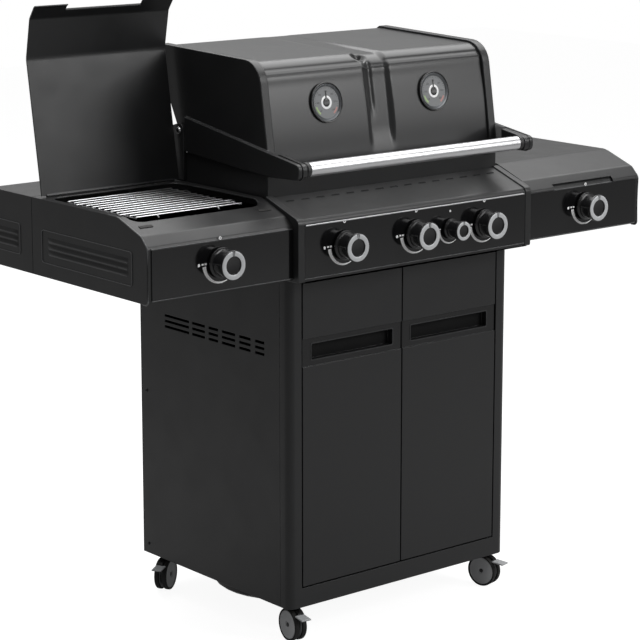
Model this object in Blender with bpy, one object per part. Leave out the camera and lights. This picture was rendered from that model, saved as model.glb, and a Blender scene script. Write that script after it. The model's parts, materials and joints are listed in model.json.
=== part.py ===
"""Gas barbecue grill on a cabinet cart, with a hinged main lid and a lidded burner at each side.

Axes: X to the right, Y to the back, Z up.  The model is laid out with Y = 0 on the door plane and
X = 0 midway; the empty "grill" then centres its depth on the world origin, with the floor at Z = 0.
"""
import math

import bmesh
import bpy
from mathutils import Matrix, Vector

# ---- Driving dimensions (metres) -------------------------------------------------------------
SEAT = 0.0003              # gap between pieces that rest on each other
SHEET = 0.002              # folded sheet steel
WALL = 0.003               # thicker shells

CABINET_WIDTH = 0.598
CABINET_DEPTH = 0.506
CABINET_HEIGHT = 0.685

FRAME_DEPTH = 0.030        # door frame, front to back
FRAME_CORNER = 0.016
POST_WIDTH = 0.0325
BOTTOM_RAIL = 0.0405
TOP_RAIL = 0.0115
DOOR_GAP = 0.003
DOOR_THICKNESS = 0.020
BAND_HEIGHT = 0.057        # recessed band across each door
BAND_TOP_DROP = 0.113      # door top down to the band
BAND_DEPTH = 0.003
GRIP_HEIGHT = 0.033        # finger slot inside the band
GRIP_MARGIN = 0.023
GRIP_DEPTH = 0.017
DOOR_AXIS_IN = 0.010       # hinge axis behind and inside the door's outer front corner
DOOR_AXIS_BACK = 0.006
DOOR_PIN_RADIUS = 0.0025
DOOR_SWING = 110

DOOR_PIN_REACH, DOOR_PIN_HOLE = 0.0055, 0.0035   # each side of the door's edge and of the frame's
SLOT_REACH = 0.01          # cutters run this far past what they cut

TRAY_RIM = 0.020           # base tray's upturned edge
WELL_X, WELL_Y, WELL_RADIUS, WELL_DEPTH = -0.130, 0.225, 0.150, 0.025
WELL_CHAMFER = (0.008, 0.006)    # across and up

VENT_SPANS = ((0.079, 0.109), (0.124, 0.161), (0.175, 0.219), (0.232, 0.264), (0.277, 0.321), (0.332, 0.417))
VENT_ROWS, VENT_PITCH, VENT_HEIGHT = 3, 0.0118, 0.005
VENT_TOP_DROP = 0.1435     # cabinet top down to the first row
DECK_GAP = 0.0075          # rear deck behind the firebox

CONSOLE_HEIGHT = 0.1567
CONSOLE_OVERHANG = 0.0165  # end trims beyond the cabinet sides
CONSOLE_FRONT = -0.0475    # sheet behind the fascia
CONSOLE_BACK = 0.0515
TOP_SLOPE = math.radians(19.2)
TRIM_PROUD = 0.0030
RAIL_HEIGHT = 0.040
FASCIA_THICKNESS = 0.002
FASCIA_TOP_DROP = 0.046
FASCIA_LIP = 0.008
RAIL_LAP = 0.01            # side rails run forward into the end trims
VALVE_WIDTH, VALVE_HEIGHT, VALVE_DROP = 0.022, 0.024, 0.016
PIPE_RADIUS, PIPE_BACK = 0.008, 0.034    # gas pipe, and its place behind the fascia

SHELF_WIDTH = 0.3472
SHELF_FRONT = -0.0330
SHELF_BACK_OVERHANG = 0.004
SHELF_BEND = 0.0620        # where the flat top starts to slope
SHELF_SLOPE = math.radians(20.0)
SHELF_CORNER = 0.012
PAN_FRONT, PAN_BACK = 0.034, 0.318
PAN_NEAR_MARGIN, PAN_FAR_MARGIN = 0.0195, 0.017
PAN_DEPTH = 0.048
PAN_CORNER = 0.025
PAN_RIM_DROP = 0.002       # pan walls end below the sloping top
SIDE_GRATE_NEAR, SIDE_GRATE_FAR, SIDE_GRATE_ENDS = 0.0317, 0.025, 0.026   # gaps inside the pan
SIDE_GRATE_BAR, SIDE_GRATE_BARS, SIDE_GRATE_DROP = 0.005, 15, 0.0045
SIDE_GRATE_LEG_IN, SIDE_GRATE_LEG = 0.055, 0.0022
SIDE_BURNER_Y = 0.165

SIDE_LID_HINGE = 0.331
SIDE_LID_MARGIN = 0.008
SIDE_LID_SHEET = 0.003
SIDE_LID_LIFT = 0.0015
SIDE_LID_DROP, SIDE_LID_FOLD = 0.003, 0.005
SIDE_LID_OPEN = math.radians(99.2)
SIDE_LID_GRIP_WIDTH, SIDE_LID_GRIP_DEPTH = 0.180, 0.012
BARREL_RADIUS, BARREL_INSET = 0.003, 0.012

FIREBOX_FRONT, FIREBOX_DEPTH = 0.052, 0.293
FIREBOX_HALF_INSET = 0.0065      # firebox side inside the console end
FIREBOX_RISE = 0.040             # rim above the work surface, at the front
FIREBOX_BACK_RISE = 0.059
FIREBOX_WALL, FIREBOX_BASE = 0.004, 0.006
FIREBOX_RIM_RUN = 0.250          # the rim rises to the back over this depth
LEDGE_WIDTH, LEDGE_DROP = 0.012, 0.021
DRAIN_WIDTH, DRAIN_MARGIN = 0.160, 0.100
TUBE_RADIUS, TUBE_RISE = 0.0125, 0.050
GRATE_BAR, GRATE_GAPS, GRATE_HEIGHT, GRATE_FRAME = 0.008, 13, 0.012, 0.012
GRATE_CENTRE_GAP, GRATE_SIDE_GAP, GRATE_END_GAP = 0.003, 0.017, 0.0065
RACK_BAR, RACK_BARS = 0.005, 6
RACK_RISE, RACK_SIDE_GAP = 0.145, 0.024
RACK_NEAR, RACK_FAR = 0.115, 0.015          # front and back, ahead of the pivot
RACK_LEG_IN, RACK_FOOT_GAP = 0.010, 0.006

PIVOT_Y, PIVOT_RISE = 0.335, 0.103
PIVOT_PIN, PIVOT_CLEARANCE = 0.004, 0.0005
EAR = 0.015                      # hinge bracket round its pin
LID_SWING = 80
LID_GAP_RISE = 0.043             # lid's lower edge above the work surface
LID_RISE = 0.276                 # lid's top above the work surface
LID_FRONT, LID_FRONT_TOP, LID_BACK_TOP, LID_BACK = 0.046, 0.081, 0.437, 0.352
LID_FRONT_ROUND, LID_BACK_ROUND = 0.052, 0.020
LID_TOP_FALL = 0.012             # the top falls this much to the front
LID_RIM = 0.020                  # end casting, along X
LID_RIM_PROUD = 0.009
LID_PLATE = 0.004
ARM_PROUD = 0.0075
ARM_CLEARANCE = 0.0165            # arm's rear end ahead of the pivot
ARM_FRONT, ARM_TIP = -0.053, 0.024
HANDLE_RADIUS = 0.0145
HANDLE_Y, HANDLE_RISE = -0.0375, 0.063

GAUGE_X, GAUGE_RISE, GAUGE_RADIUS, GAUGE_HEIGHT = 0.145, 0.173, 0.041, 0.009
GAUGE_BEZEL, GAUGE_RECESS = 0.005, 0.004
NEEDLE_HUB, NEEDLE_HUB_HEIGHT = 0.0085, 0.0015
NEEDLE_LENGTH, NEEDLE_HALF_WIDTH, NEEDLE_LOW, NEEDLE_HIGH = 0.024, 0.0022, 0.0001, 0.0012

KNOB_RADIUS, KNOB_LENGTH, KNOB_TRAVEL = 0.029, 0.0425, 0.003
SMALL_KNOB_SCALE = 0.70
STEM_RADIUS, STEM_CLEARANCE, STEM_TAIL = 0.004, 0.0006, 0.012
KNOB_SOCKET = 0.0125             # stem ends this far inside the knob's face
KNOB_DISH = 0.004
KNOB_Z_DROP = 0.0935             # knob axis below the work surface
KNOB_PITCH = 0.189
KNOB_LEFT_X = -0.198
SMALL_KNOB_X = 0.0845
SIDE_KNOB_IN = 0.169             # side knob in from the shelf's outer side

WHEEL_RADIUS, WHEEL_WIDTH = 0.034, 0.0286
WHEEL_HEADROOM = 0.007     # wheel's top down from the cabinet's underside
FORK_THICKNESS, FORK_CLEARANCE, FORK_FLOOR_GAP = 0.006, 0.0004, 0.012
FORK_TOP_FRONT, FORK_TOP_BACK = 0.010, 0.012
CASTER_INSET_X, CASTER_INSET_Y, CASTER_TRAIL = 0.033, 0.046, 0.018
CASTER_PLATE_RADIUS, CASTER_PLATE = 0.020, 0.0035
AXLE_RADIUS = 0.005
PEDAL_REACH, PEDAL_AXIS, PEDAL_RISE = 0.020, -0.0015, -0.0105   # beyond and above the wheel's radius
PEDAL_HEEL = 0.0058        # pedal's inner end behind its own axis
PEDAL_HALF_WIDTH = 0.011
CASTER_HEADINGS = {"front_left": 262.3, "front_right": 283.0, "rear_left": 212.0, "rear_right": 250.0}

TRAY_HALF_WIDTH, TRAY_HEIGHT, TRAY_FRONT = 0.115, 0.024, 0.085
TRAY_DROP = 0.004                # tray's rim below the firebox floor
TRAY_GAP = 0.002                 # beside the runners
TRAY_PLATE_LAP, TRAY_PLATE = 0.006, 0.002
RUNNER_LIP = 0.008

# ---- Places worked out from them -------------------------------------------------------------
BASE_Z = 2 * WHEEL_RADIUS + WHEEL_HEADROOM
CAB_X = CABINET_WIDTH / 2
CAB_TOP = BASE_Z + CABINET_HEIGHT
CONSOLE_X = CAB_X + CONSOLE_OVERHANG
CONSOLE_Z = CAB_TOP + SEAT
WORK_Z = CONSOLE_Z + CONSOLE_HEIGHT
RAIL_TOP = CONSOLE_Z + RAIL_HEIGHT
SHELF_X = CONSOLE_X + SEAT
SHELF_END = SHELF_X + SHELF_WIDTH
SHELF_BACK = CABINET_DEPTH + SHELF_BACK_OVERHANG
SHELF_Z = CONSOLE_Z + 0.0015
PAN_X = (SHELF_X + PAN_NEAR_MARGIN, SHELF_END - PAN_FAR_MARGIN)
PAN_Z = WORK_Z - PAN_DEPTH
BURNER_X = SHELF_END - SIDE_KNOB_IN
OPENING_X = CAB_X - POST_WIDTH
OPENING_Z = (BASE_Z + BOTTOM_RAIL, CAB_TOP - TOP_RAIL)
DOOR_X = OPENING_X - DOOR_GAP
DOOR_Z = (OPENING_Z[0] + DOOR_GAP, OPENING_Z[1] - DOOR_GAP)
BAND_Z = (DOOR_Z[1] - BAND_TOP_DROP - BAND_HEIGHT, DOOR_Z[1] - BAND_TOP_DROP)
FIREBOX_X = CONSOLE_X - FIREBOX_HALF_INSET
FIREBOX_BACK = FIREBOX_FRONT + FIREBOX_DEPTH
FIREBOX_FLOOR = RAIL_TOP + SEAT
LEDGE_Z = WORK_Z + FIREBOX_RISE - LEDGE_DROP
LID_X = FIREBOX_X
PIVOT_Z = WORK_Z + PIVOT_RISE
KNOB_Z = WORK_Z - KNOB_Z_DROP
FASCIA_FRONT = CONSOLE_FRONT - SEAT - FASCIA_THICKNESS
SHELF_FASCIA_FRONT = SHELF_FRONT - SEAT - FASCIA_THICKNESS
FASCIA_Z = (CONSOLE_Z + FASCIA_LIP, WORK_Z - FASCIA_TOP_DROP)
KNOB_FACE = FASCIA_FRONT - KNOB_LENGTH
SHIFT_Y = -(KNOB_FACE + SHELF_BACK) / 2
TUBE_X = [KNOB_LEFT_X + KNOB_PITCH * step for step in range(3)]
SIDES = {"left": -1, "right": 1}
UP, BACK, ACROSS = Vector((0, 0, 1)), Vector((0, 1, 0)), Vector((1, 0, 0))


# ---- Outlines --------------------------------------------------------------------------------
def rounded(corners, steps=4):
    """Outline through (a, b, radius) corners, each round one drawn as an arc tangent to its sides."""
    points = []
    for index, (a, b, radius) in enumerate(corners):
        here = Vector((a, b))
        if radius == 0:
            points.append(here)
            continue
        before = (Vector(corners[index - 1][:2]) - here).normalized()
        after = (Vector(corners[(index + 1) % len(corners)][:2]) - here).normalized()
        half = before.angle(after) / 2
        centre = here + (before + after).normalized() * (radius / math.sin(half))
        start = here + before * (radius / math.tan(half)) - centre
        end = here + after * (radius / math.tan(half)) - centre
        turn = math.atan2(start.x * end.y - start.y * end.x, start.dot(end))
        for step in range(steps + 1):
            points.append(centre + Matrix.Rotation(turn * step / steps, 2) @ start)
    return points


def offset(path, distance):
    """Open path moved sideways by distance, to the right of its direction, with mitred corners."""
    moved = []
    for index, point in enumerate(path):
        sides = []
        if index > 0:
            sides.append((point - path[index - 1]).normalized())
        if index < len(path) - 1:
            sides.append((path[index + 1] - point).normalized())
        normals = [Vector((side.y, -side.x)) for side in sides]
        middle = sum(normals, Vector((0, 0))).normalized()
        moved.append(point + middle * (distance / middle.dot(normals[0])))
    return moved


def strip(path, near, far):
    """Closed outline of a folded sheet between two offsets of one path."""
    return offset(path, near) + offset(path, far)[::-1]


# ---- Solids ----------------------------------------------------------------------------------
def prism(outline, axis, low, high):
    """Outline extruded along X (outline in Y, Z), Y (X, Z) or Z (X, Y)."""
    mesh = bmesh.new()
    places = [index for index in range(3) if index != axis]
    ring = []
    for a, b in outline:
        place = [0.0, 0.0, 0.0]
        place[places[0]], place[places[1]], place[axis] = a, b, low
        ring.append(mesh.verts.new(place))
    face = mesh.faces.new(ring)
    grown = bmesh.ops.extrude_face_region(mesh, geom=[face])["geom"]
    step = Vector((0, 0, 0))
    step[axis] = high - low
    raised = [item for item in grown if isinstance(item, bmesh.types.BMVert)]
    bmesh.ops.translate(mesh, vec=step, verts=raised)
    bmesh.ops.recalc_face_normals(mesh, faces=mesh.faces)
    return mesh


def block(low, high):
    """Box between two opposite corners."""
    xs, ys = sorted((low[0], high[0])), sorted((low[1], high[1]))
    outline = [(xs[0], ys[0]), (xs[1], ys[0]), (xs[1], ys[1]), (xs[0], ys[1])]
    return prism(outline, 2, min(low[2], high[2]), max(low[2], high[2]))


def turned(profile, centre, direction, segments=20, phase=0.5):
    """Solid turned about a line: profile of (radius, distance) from axis to axis."""
    direction = Vector(direction).normalized()
    side = direction.orthogonal().normalized()
    if abs(direction.z) < 0.9:
        side = direction.cross(UP).normalized()
    other = direction.cross(side)
    mesh = bmesh.new()
    rings = []
    for radius, distance in profile:
        middle = Vector(centre) + direction * distance
        count = 1 if radius == 0 else segments
        ring = []
        for step in range(count):
            angle = math.tau * (step + phase) / segments
            ring.append(mesh.verts.new(middle + (side * math.cos(angle) + other * math.sin(angle)) * radius))
        rings.append(ring)
    for lower, upper in zip(rings, rings[1:]):
        for step in range(segments):
            after = (step + 1) % segments
            corners = [lower[step % len(lower)], lower[after % len(lower)],
                       upper[after % len(upper)], upper[step % len(upper)]]
            mesh.faces.new(list(dict.fromkeys(corners)))
    bmesh.ops.recalc_face_normals(mesh, faces=mesh.faces)
    return mesh


def rod(start, end, radius, segments=10):
    """Plain round bar between two points."""
    start, end = Vector(start), Vector(end)
    length = (end - start).length
    return turned([(0, 0), (radius, 0), (radius, length), (0, length)], start, end - start, segments)


def gathered(*meshes):
    """Separate solids put into one mesh, to cut or join with in one step."""
    whole = bmesh.new()
    for mesh in meshes:
        copy = bpy.data.meshes.new("copy")
        mesh.to_mesh(copy)
        whole.from_mesh(copy)
        mesh.free()
        bpy.data.meshes.remove(copy)
    return whole


def across(outline, near, far):
    """Outline in Y, Z extruded along X between two places given in either order."""
    return prism(outline, 0, min(near, far), max(near, far))


def rotated(mesh, pivot, axis, angle):
    """Mesh turned about a line through pivot."""
    bmesh.ops.rotate(mesh, cent=pivot, matrix=Matrix.Rotation(angle, 3, axis), verts=mesh.verts)
    return mesh


# ---- Objects ---------------------------------------------------------------------------------
def material(name, colour, roughness, metallic):
    """Plain finish for one family of pieces."""
    made = bpy.data.materials.new(name)
    made.use_nodes = True
    shader = made.node_tree.nodes["Principled BSDF"]
    shader.inputs["Base Color"].default_value = (*colour, 1.0)
    shader.inputs["Roughness"].default_value = roughness
    shader.inputs["Metallic"].default_value = metallic
    return made


def empty(name, place, parent=None):
    """Axis or origin that pieces hang from."""
    made = bpy.data.objects.new(name, None)
    bpy.context.collection.objects.link(made)
    made.location = Vector(place)
    if parent:
        made.parent = parent
        made.location = Vector(place) - PLACES[parent.name]
    PLACES[name] = Vector(place)
    return made


def link(name, mesh, parent):
    """Object made from a mesh laid out in grill coordinates, with its origin on its parent's."""
    bmesh.ops.translate(mesh, vec=-PLACES[parent.name], verts=mesh.verts)
    data = bpy.data.meshes.new(name)
    mesh.to_mesh(data)
    mesh.free()
    made = bpy.data.objects.new(name, data)
    bpy.context.collection.objects.link(made)
    made.parent = parent
    return made


def add(name, mesh, finish, parent, join=(), cut=(), later=(), smooth=False):
    """One sub-part: its solid, those joined to it, those cut from it, then any later steps in order."""
    made = link(name, mesh, parent)
    made.data.materials.append(finish)
    if smooth:
        made.data.shade_smooth()
        made.data.set_sharp_from_angle(angle=math.radians(35))
    tools = [("UNION", tool) for tool in join] + [("DIFFERENCE", tool) for tool in cut] + list(later)
    for count, (operation, tool) in enumerate(tools):
        helper = link(f"{name}_tool_{count}", tool, parent)
        helper.hide_render = True
        helper.display_type = "WIRE"
        modifier = made.modifiers.new(f"{operation.title()} {count}", "BOOLEAN")
        modifier.operation = operation
        modifier.solver = "EXACT"
        modifier.object = helper
    return made


# ---- Cabinet ---------------------------------------------------------------------------------
def make_cabinet(finishes, grill):
    """Base tray with a gas-bottle well, sides, back with rear deck, and the door frame."""
    steel = finishes["powder_black"]
    inner_x = CAB_X - SHEET - SEAT
    y_low, y_high = FRAME_DEPTH + SEAT, CABINET_DEPTH - SHEET - SEAT
    well = Vector((WELL_X, WELL_Y, BASE_Z))
    slant, rise = WELL_CHAMFER
    floor = block((-inner_x, y_low, BASE_Z), (inner_x, y_high, BASE_Z + TRAY_RIM))
    hollow = block((-inner_x + SHEET, y_low + SHEET, BASE_Z + SHEET),
                   (inner_x - SHEET, y_high - SHEET, BASE_Z + TRAY_RIM * 2))

    def dish(radius, low, high):
        profile = [(0, low), (radius - slant, low), (radius, low + rise), (radius, high), (0, high)]
        return turned(profile, well, UP, 32)
    add("base_tray", floor, steel, grill, join=[dish(WELL_RADIUS, -WELL_DEPTH, SHEET / 2)],
        cut=[hollow, dish(WELL_RADIUS - SHEET, SHEET - WELL_DEPTH, SLOT_REACH)])

    vent_rows = [CAB_TOP - VENT_TOP_DROP - VENT_PITCH * row for row in range(VENT_ROWS)]
    half = VENT_HEIGHT / 2
    for side, sign in SIDES.items():
        panel = block((sign * CAB_X, y_low, BASE_Z), (sign * (CAB_X - SHEET), y_high, RAIL_TOP - SHEET))
        near, far = sign * (CAB_X - SLOT_REACH), sign * (CAB_X + SLOT_REACH)
        slots = [block((near, low, z - half), (far, high, z + half))
                 for low, high in VENT_SPANS for z in vent_rows]
        add(f"{side}_side_panel", panel, steel, grill, cut=[gathered(*slots)])

    deck_y = FIREBOX_BACK + DECK_GAP
    deck_outline = [(CABINET_DEPTH, BASE_Z), (CABINET_DEPTH, WORK_Z), (deck_y, WORK_Z),
                    (deck_y, WORK_Z - SHEET), (CABINET_DEPTH - SHEET, WORK_Z - SHEET),
                    (CABINET_DEPTH - SHEET, BASE_Z)]
    slot_x = TRAY_HALF_WIDTH + TRAY_GAP
    tray_slot = block((-slot_x, CABINET_DEPTH - SLOT_REACH, tray_floor() - 0.0004),
                      (slot_x, CABINET_DEPTH + SLOT_REACH, FIREBOX_FLOOR - 0.001))
    add("back_panel", prism(deck_outline, 0, -CAB_X, CAB_X), steel, grill, cut=[tray_slot])

    outline = rounded([(-CAB_X, FRAME_DEPTH, 0), (-CAB_X, 0, FRAME_CORNER), (CAB_X, 0, FRAME_CORNER),
                       (CAB_X, FRAME_DEPTH, 0)])
    opening = block((-OPENING_X, -0.1, OPENING_Z[0]), (OPENING_X, 0.1, OPENING_Z[1]))
    post_inner, post_outer = OPENING_X + WALL, CAB_X - WALL
    back = FRAME_DEPTH + SLOT_REACH
    pockets = [block((sign * post_inner, FRAME_CORNER / 2, BASE_Z + WALL),
                     (sign * post_outer, back, CAB_TOP - WALL)) for sign in SIDES.values()]
    pockets.append(block((-OPENING_X, WALL, BASE_Z + WALL), (OPENING_X, back, OPENING_Z[0] - WALL)))
    pockets.append(block((-OPENING_X, WALL, OPENING_Z[1] + WALL), (OPENING_X, back, CAB_TOP - WALL)))
    holes = []
    for sign in SIDES.values():
        x = sign * (DOOR_X - DOOR_AXIS_IN)
        for z in OPENING_Z:
            holes.append(rod((x, DOOR_AXIS_BACK, z - DOOR_PIN_HOLE), (x, DOOR_AXIS_BACK, z + DOOR_PIN_HOLE),
                             DOOR_PIN_RADIUS + PIVOT_CLEARANCE, 8))
    add("front_frame", prism(outline, 2, BASE_Z, CAB_TOP), steel, grill,
        cut=[opening, gathered(*pockets), gathered(*holes)])


def make_doors(finishes, grill):
    """Two doors, each a shallow pan with a recessed band and a finger slot, on pins at its outer edge."""
    for side, sign in SIDES.items():
        axis_x = sign * (DOOR_X - DOOR_AXIS_IN)
        axis = empty(f"{side}_door_axis", (axis_x, DOOR_AXIS_BACK, (DOOR_Z[0] + DOOR_Z[1]) / 2), grill)
        inner, outer = sign * DOOR_GAP / 2, sign * DOOR_X
        panel = block((inner, 0, DOOR_Z[0]), (outer, DOOR_THICKNESS, DOOR_Z[1]))
        pins = [rod((axis_x, DOOR_AXIS_BACK, z - DOOR_PIN_REACH),
                    (axis_x, DOOR_AXIS_BACK, z + DOOR_PIN_REACH), DOOR_PIN_RADIUS, 8) for z in DOOR_Z]
        past = sign * SLOT_REACH
        band = block((inner - past, -SLOT_REACH, BAND_Z[0]), (outer + past, BAND_DEPTH, BAND_Z[1]))
        grip_middle = (BAND_Z[0] + BAND_Z[1]) / 2
        grip = block((inner + sign * GRIP_MARGIN, 0, grip_middle - GRIP_HEIGHT / 2),
                     (outer - sign * GRIP_MARGIN, GRIP_DEPTH, grip_middle + GRIP_HEIGHT / 2))
        behind = DOOR_THICKNESS + SLOT_REACH
        heights = ((DOOR_Z[0] + SHEET, BAND_Z[0] - SHEET), (BAND_Z[1] + SHEET, DOOR_Z[1] - SHEET))
        backs = [block((inner + sign * SHEET, SHEET, low), (outer - sign * SHEET, behind, high))
                 for low, high in heights]
        add(f"{side}_door", panel, finishes["powder_black"], axis,
            join=[gathered(*pins)], cut=[gathered(*backs), band, grip])


# ---- Console and shelves ---------------------------------------------------------------------
def knob_places():
    """Name, X, fascia plane and scale of each control knob, from left to right."""
    main = [(f"knob_{number}", KNOB_LEFT_X + KNOB_PITCH * step, FASCIA_FRONT, 1.0)
            for number, step in ((2, 0), (3, 1), (5, 2))]
    small = [("knob_4", SMALL_KNOB_X, FASCIA_FRONT, SMALL_KNOB_SCALE)]
    side = [("knob_1", -BURNER_X, SHELF_FASCIA_FRONT, 1.0), ("knob_6", BURNER_X, SHELF_FASCIA_FRONT, 1.0)]
    return main + small + side


def stem_hole(x, front):
    """Cutter for one knob stem."""
    radius = STEM_RADIUS + STEM_CLEARANCE
    return rod((x, front - SLOT_REACH, KNOB_Z), (x, front + STEM_TAIL, KNOB_Z), radius, 12)


def stem_holes(plane):
    """Cutters for the knob stems that pass through the sheets behind one fascia plane."""
    return [stem_hole(x, front)
            for _, x, front, _ in knob_places() if front == plane]


def slope_height(y):
    """Height of the console's sloping top at a given Y."""
    return WORK_Z - SEAT - (CONSOLE_BACK - y) * math.tan(TOP_SLOPE)


def make_console(finishes, grill):
    """Folded console with end trims that run back as rails, and its glossy fascia."""
    path = rounded([(CONSOLE_FRONT + 0.020, CONSOLE_Z, 0), (CONSOLE_FRONT, CONSOLE_Z, 0),
                    (CONSOLE_FRONT, slope_height(CONSOLE_FRONT), 0.012),
                    (CONSOLE_BACK - 0.001, slope_height(CONSOLE_BACK - 0.001), 0)])
    trim_front = CONSOLE_FRONT - TRIM_PROUD
    trim = rounded([(CONSOLE_BACK, CONSOLE_Z, 0), (trim_front, CONSOLE_Z, 0.004),
                    (trim_front, slope_height(trim_front) + TRIM_PROUD, 0.014),
                    (CONSOLE_BACK, slope_height(CONSOLE_BACK) + TRIM_PROUD, 0)], 3)
    rail_front = CONSOLE_BACK - RAIL_LAP
    rail = [(rail_front, CONSOLE_Z), (CABINET_DEPTH, CONSOLE_Z), (CABINET_DEPTH, RAIL_TOP),
            (rail_front, RAIL_TOP)]
    sheet_x = CAB_X + SEAT + SHEET
    trims = [across(trim, sign * (CAB_X + SEAT), sign * CONSOLE_X) for sign in SIDES.values()]
    rails = [across(rail, sign * (CAB_X + SEAT), sign * CONSOLE_X) for sign in SIDES.values()]
    sheet = prism(strip(path, 0, SHEET), 0, -sheet_x, sheet_x)
    add("control_console", sheet, finishes["powder_black"], grill,
        join=[gathered(*trims), gathered(*rails)], cut=[gathered(*stem_holes(FASCIA_FRONT))])

    fascia_x = CAB_X - SEAT
    fascia = block((-fascia_x, FASCIA_FRONT, FASCIA_Z[0]), (fascia_x, CONSOLE_FRONT - SEAT, FASCIA_Z[1]))
    add("console_fascia", fascia, finishes["gloss_black"], grill, cut=[gathered(*stem_holes(FASCIA_FRONT))])


def shelf_path():
    """Shelf outline in Y, Z from the bottom of the front, over the top, to the top of the back."""
    bend = Vector((SHELF_BEND, WORK_Z))
    fold_y = SHELF_FRONT + 0.020
    fold = Vector((fold_y, WORK_Z - (SHELF_BEND - fold_y) * math.tan(SHELF_SLOPE)))
    return [(SHELF_FRONT, SHELF_Z, 0.010), (SHELF_FRONT, fold.y - 0.020, SHELF_CORNER),
            (fold.x, fold.y, SHELF_CORNER), (bend.x, bend.y, 0.030)]


def make_shelves(finishes, grill):
    """Side shelves: open-bottomed shells with a burner pan let into the top, and glossy fascias."""
    for side, sign in SIDES.items():
        path = shelf_path()
        outer = rounded([(SHELF_BACK, SHELF_Z, 0)] + path + [(SHELF_BACK, WORK_Z, 0.003)], 3)
        front, back = SHELF_FRONT + WALL, SHELF_BACK - WALL
        below = SHELF_Z - 0.02
        top = offset([Vector(corner[:2]) for corner in path[1:]] + [Vector((SHELF_BACK, WORK_Z))], WALL)
        inner = [(back, below), (front, below), (front, top[0].y)] + [tuple(point) for point in top[1:-1]]
        inner.append((back, WORK_Z - WALL))
        near, far = sign * SHELF_X, sign * SHELF_END
        low, high = min(near, far), max(near, far)
        pan_low, pan_high = sorted((sign * PAN_X[0], sign * PAN_X[1]))

        def pan_outline(grow):
            corner = PAN_CORNER + grow
            xs, ys = (pan_low - grow, pan_high + grow), (PAN_FRONT - grow, PAN_BACK + grow)
            return rounded([(xs[0], ys[0], corner), (xs[1], ys[0], corner), (xs[1], ys[1], corner),
                            (xs[0], ys[1], corner)], 3)
        rim_z = WORK_Z - (SHELF_BEND - PAN_FRONT) * math.tan(SHELF_SLOPE) - PAN_RIM_DROP
        hollow = prism(inner, 0, low + WALL, high - WALL)
        stems = stem_hole(sign * BURNER_X, SHELF_FASCIA_FRONT)
        add(f"{side}_shelf", prism(outer, 0, low, high), finishes["powder_black"], grill, cut=[hollow],
            later=[("UNION", prism(pan_outline(SHEET), 2, PAN_Z - SHEET, rim_z)),
                   ("DIFFERENCE", prism(pan_outline(0), 2, PAN_Z, WORK_Z + SLOT_REACH * 2)),
                   ("DIFFERENCE", stems)])
        fascia_near, fascia_far = sign * (SHELF_X + 0.001), sign * (SHELF_END - 0.010)
        plate = block((fascia_near, SHELF_FASCIA_FRONT, SHELF_Z + FASCIA_LIP),
                      (fascia_far, SHELF_FRONT - SEAT, path[1][1] - 0.004))
        add(f"{side}_shelf_fascia", plate, finishes["gloss_black"], grill,
            cut=[stem_hole(sign * BURNER_X, SHELF_FASCIA_FRONT)])


def bar_grid(xs, ys, bar, z_low, z_high, bars, columns):
    """Grate: a plate between xs and ys, and its slots as cutters, which leave bars along X and at columns."""
    plate = block((xs[0], ys[0], z_low), (xs[1], ys[1], z_high))
    pitch = (ys[1] - ys[0] - bar) / (bars - 1)
    slots = []
    for index in range(bars - 1):
        low = ys[0] + bar + pitch * index
        for left, right in zip(columns, columns[1:]):
            slots.append(block((left + bar / 2, low, z_low - SLOT_REACH),
                               (right - bar / 2, low + pitch - bar, z_high + SLOT_REACH)))
    return plate, gathered(*slots)


def make_side_burners(finishes, grill):
    """A round burner and a wire grate on legs in each shelf's pan."""
    for side, sign in SIDES.items():
        centre = Vector((sign * BURNER_X, SIDE_BURNER_Y, PAN_Z + SEAT))
        profile = [(0, 0), (0.050, 0), (0.050, 0.004), (0.030, 0.008), (0.030, 0.018), (0.040, 0.020),
                   (0.040, 0.026), (0.012, 0.030), (0, 0.030)]
        add(f"{side}_side_burner", turned(profile, centre, UP, 20), finishes["cast_iron"], grill)
        low, high = sorted((sign * (PAN_X[0] + SIDE_GRATE_NEAR), sign * (PAN_X[1] - SIDE_GRATE_FAR)))
        ys = (PAN_FRONT + SIDE_GRATE_ENDS, PAN_BACK - SIDE_GRATE_ENDS)
        top, half = WORK_Z - SIDE_GRATE_DROP, SIDE_GRATE_BAR / 2
        leg_xs = (low + SIDE_GRATE_LEG_IN, high - SIDE_GRATE_LEG_IN)
        plate, slots = bar_grid((low, high), ys, SIDE_GRATE_BAR, top - SIDE_GRATE_BAR, top, SIDE_GRATE_BARS,
                                (low + half, *leg_xs, high - half))
        legs = [rod((x, y, PAN_Z + SEAT), (x, y, top - SHEET), SIDE_GRATE_LEG, 6)
                for x in leg_xs for y in (ys[0] + half, ys[1] - half)]
        add(f"{side}_side_grate", plate, finishes["stainless"], grill, join=[gathered(*legs)], cut=[slots])


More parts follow.
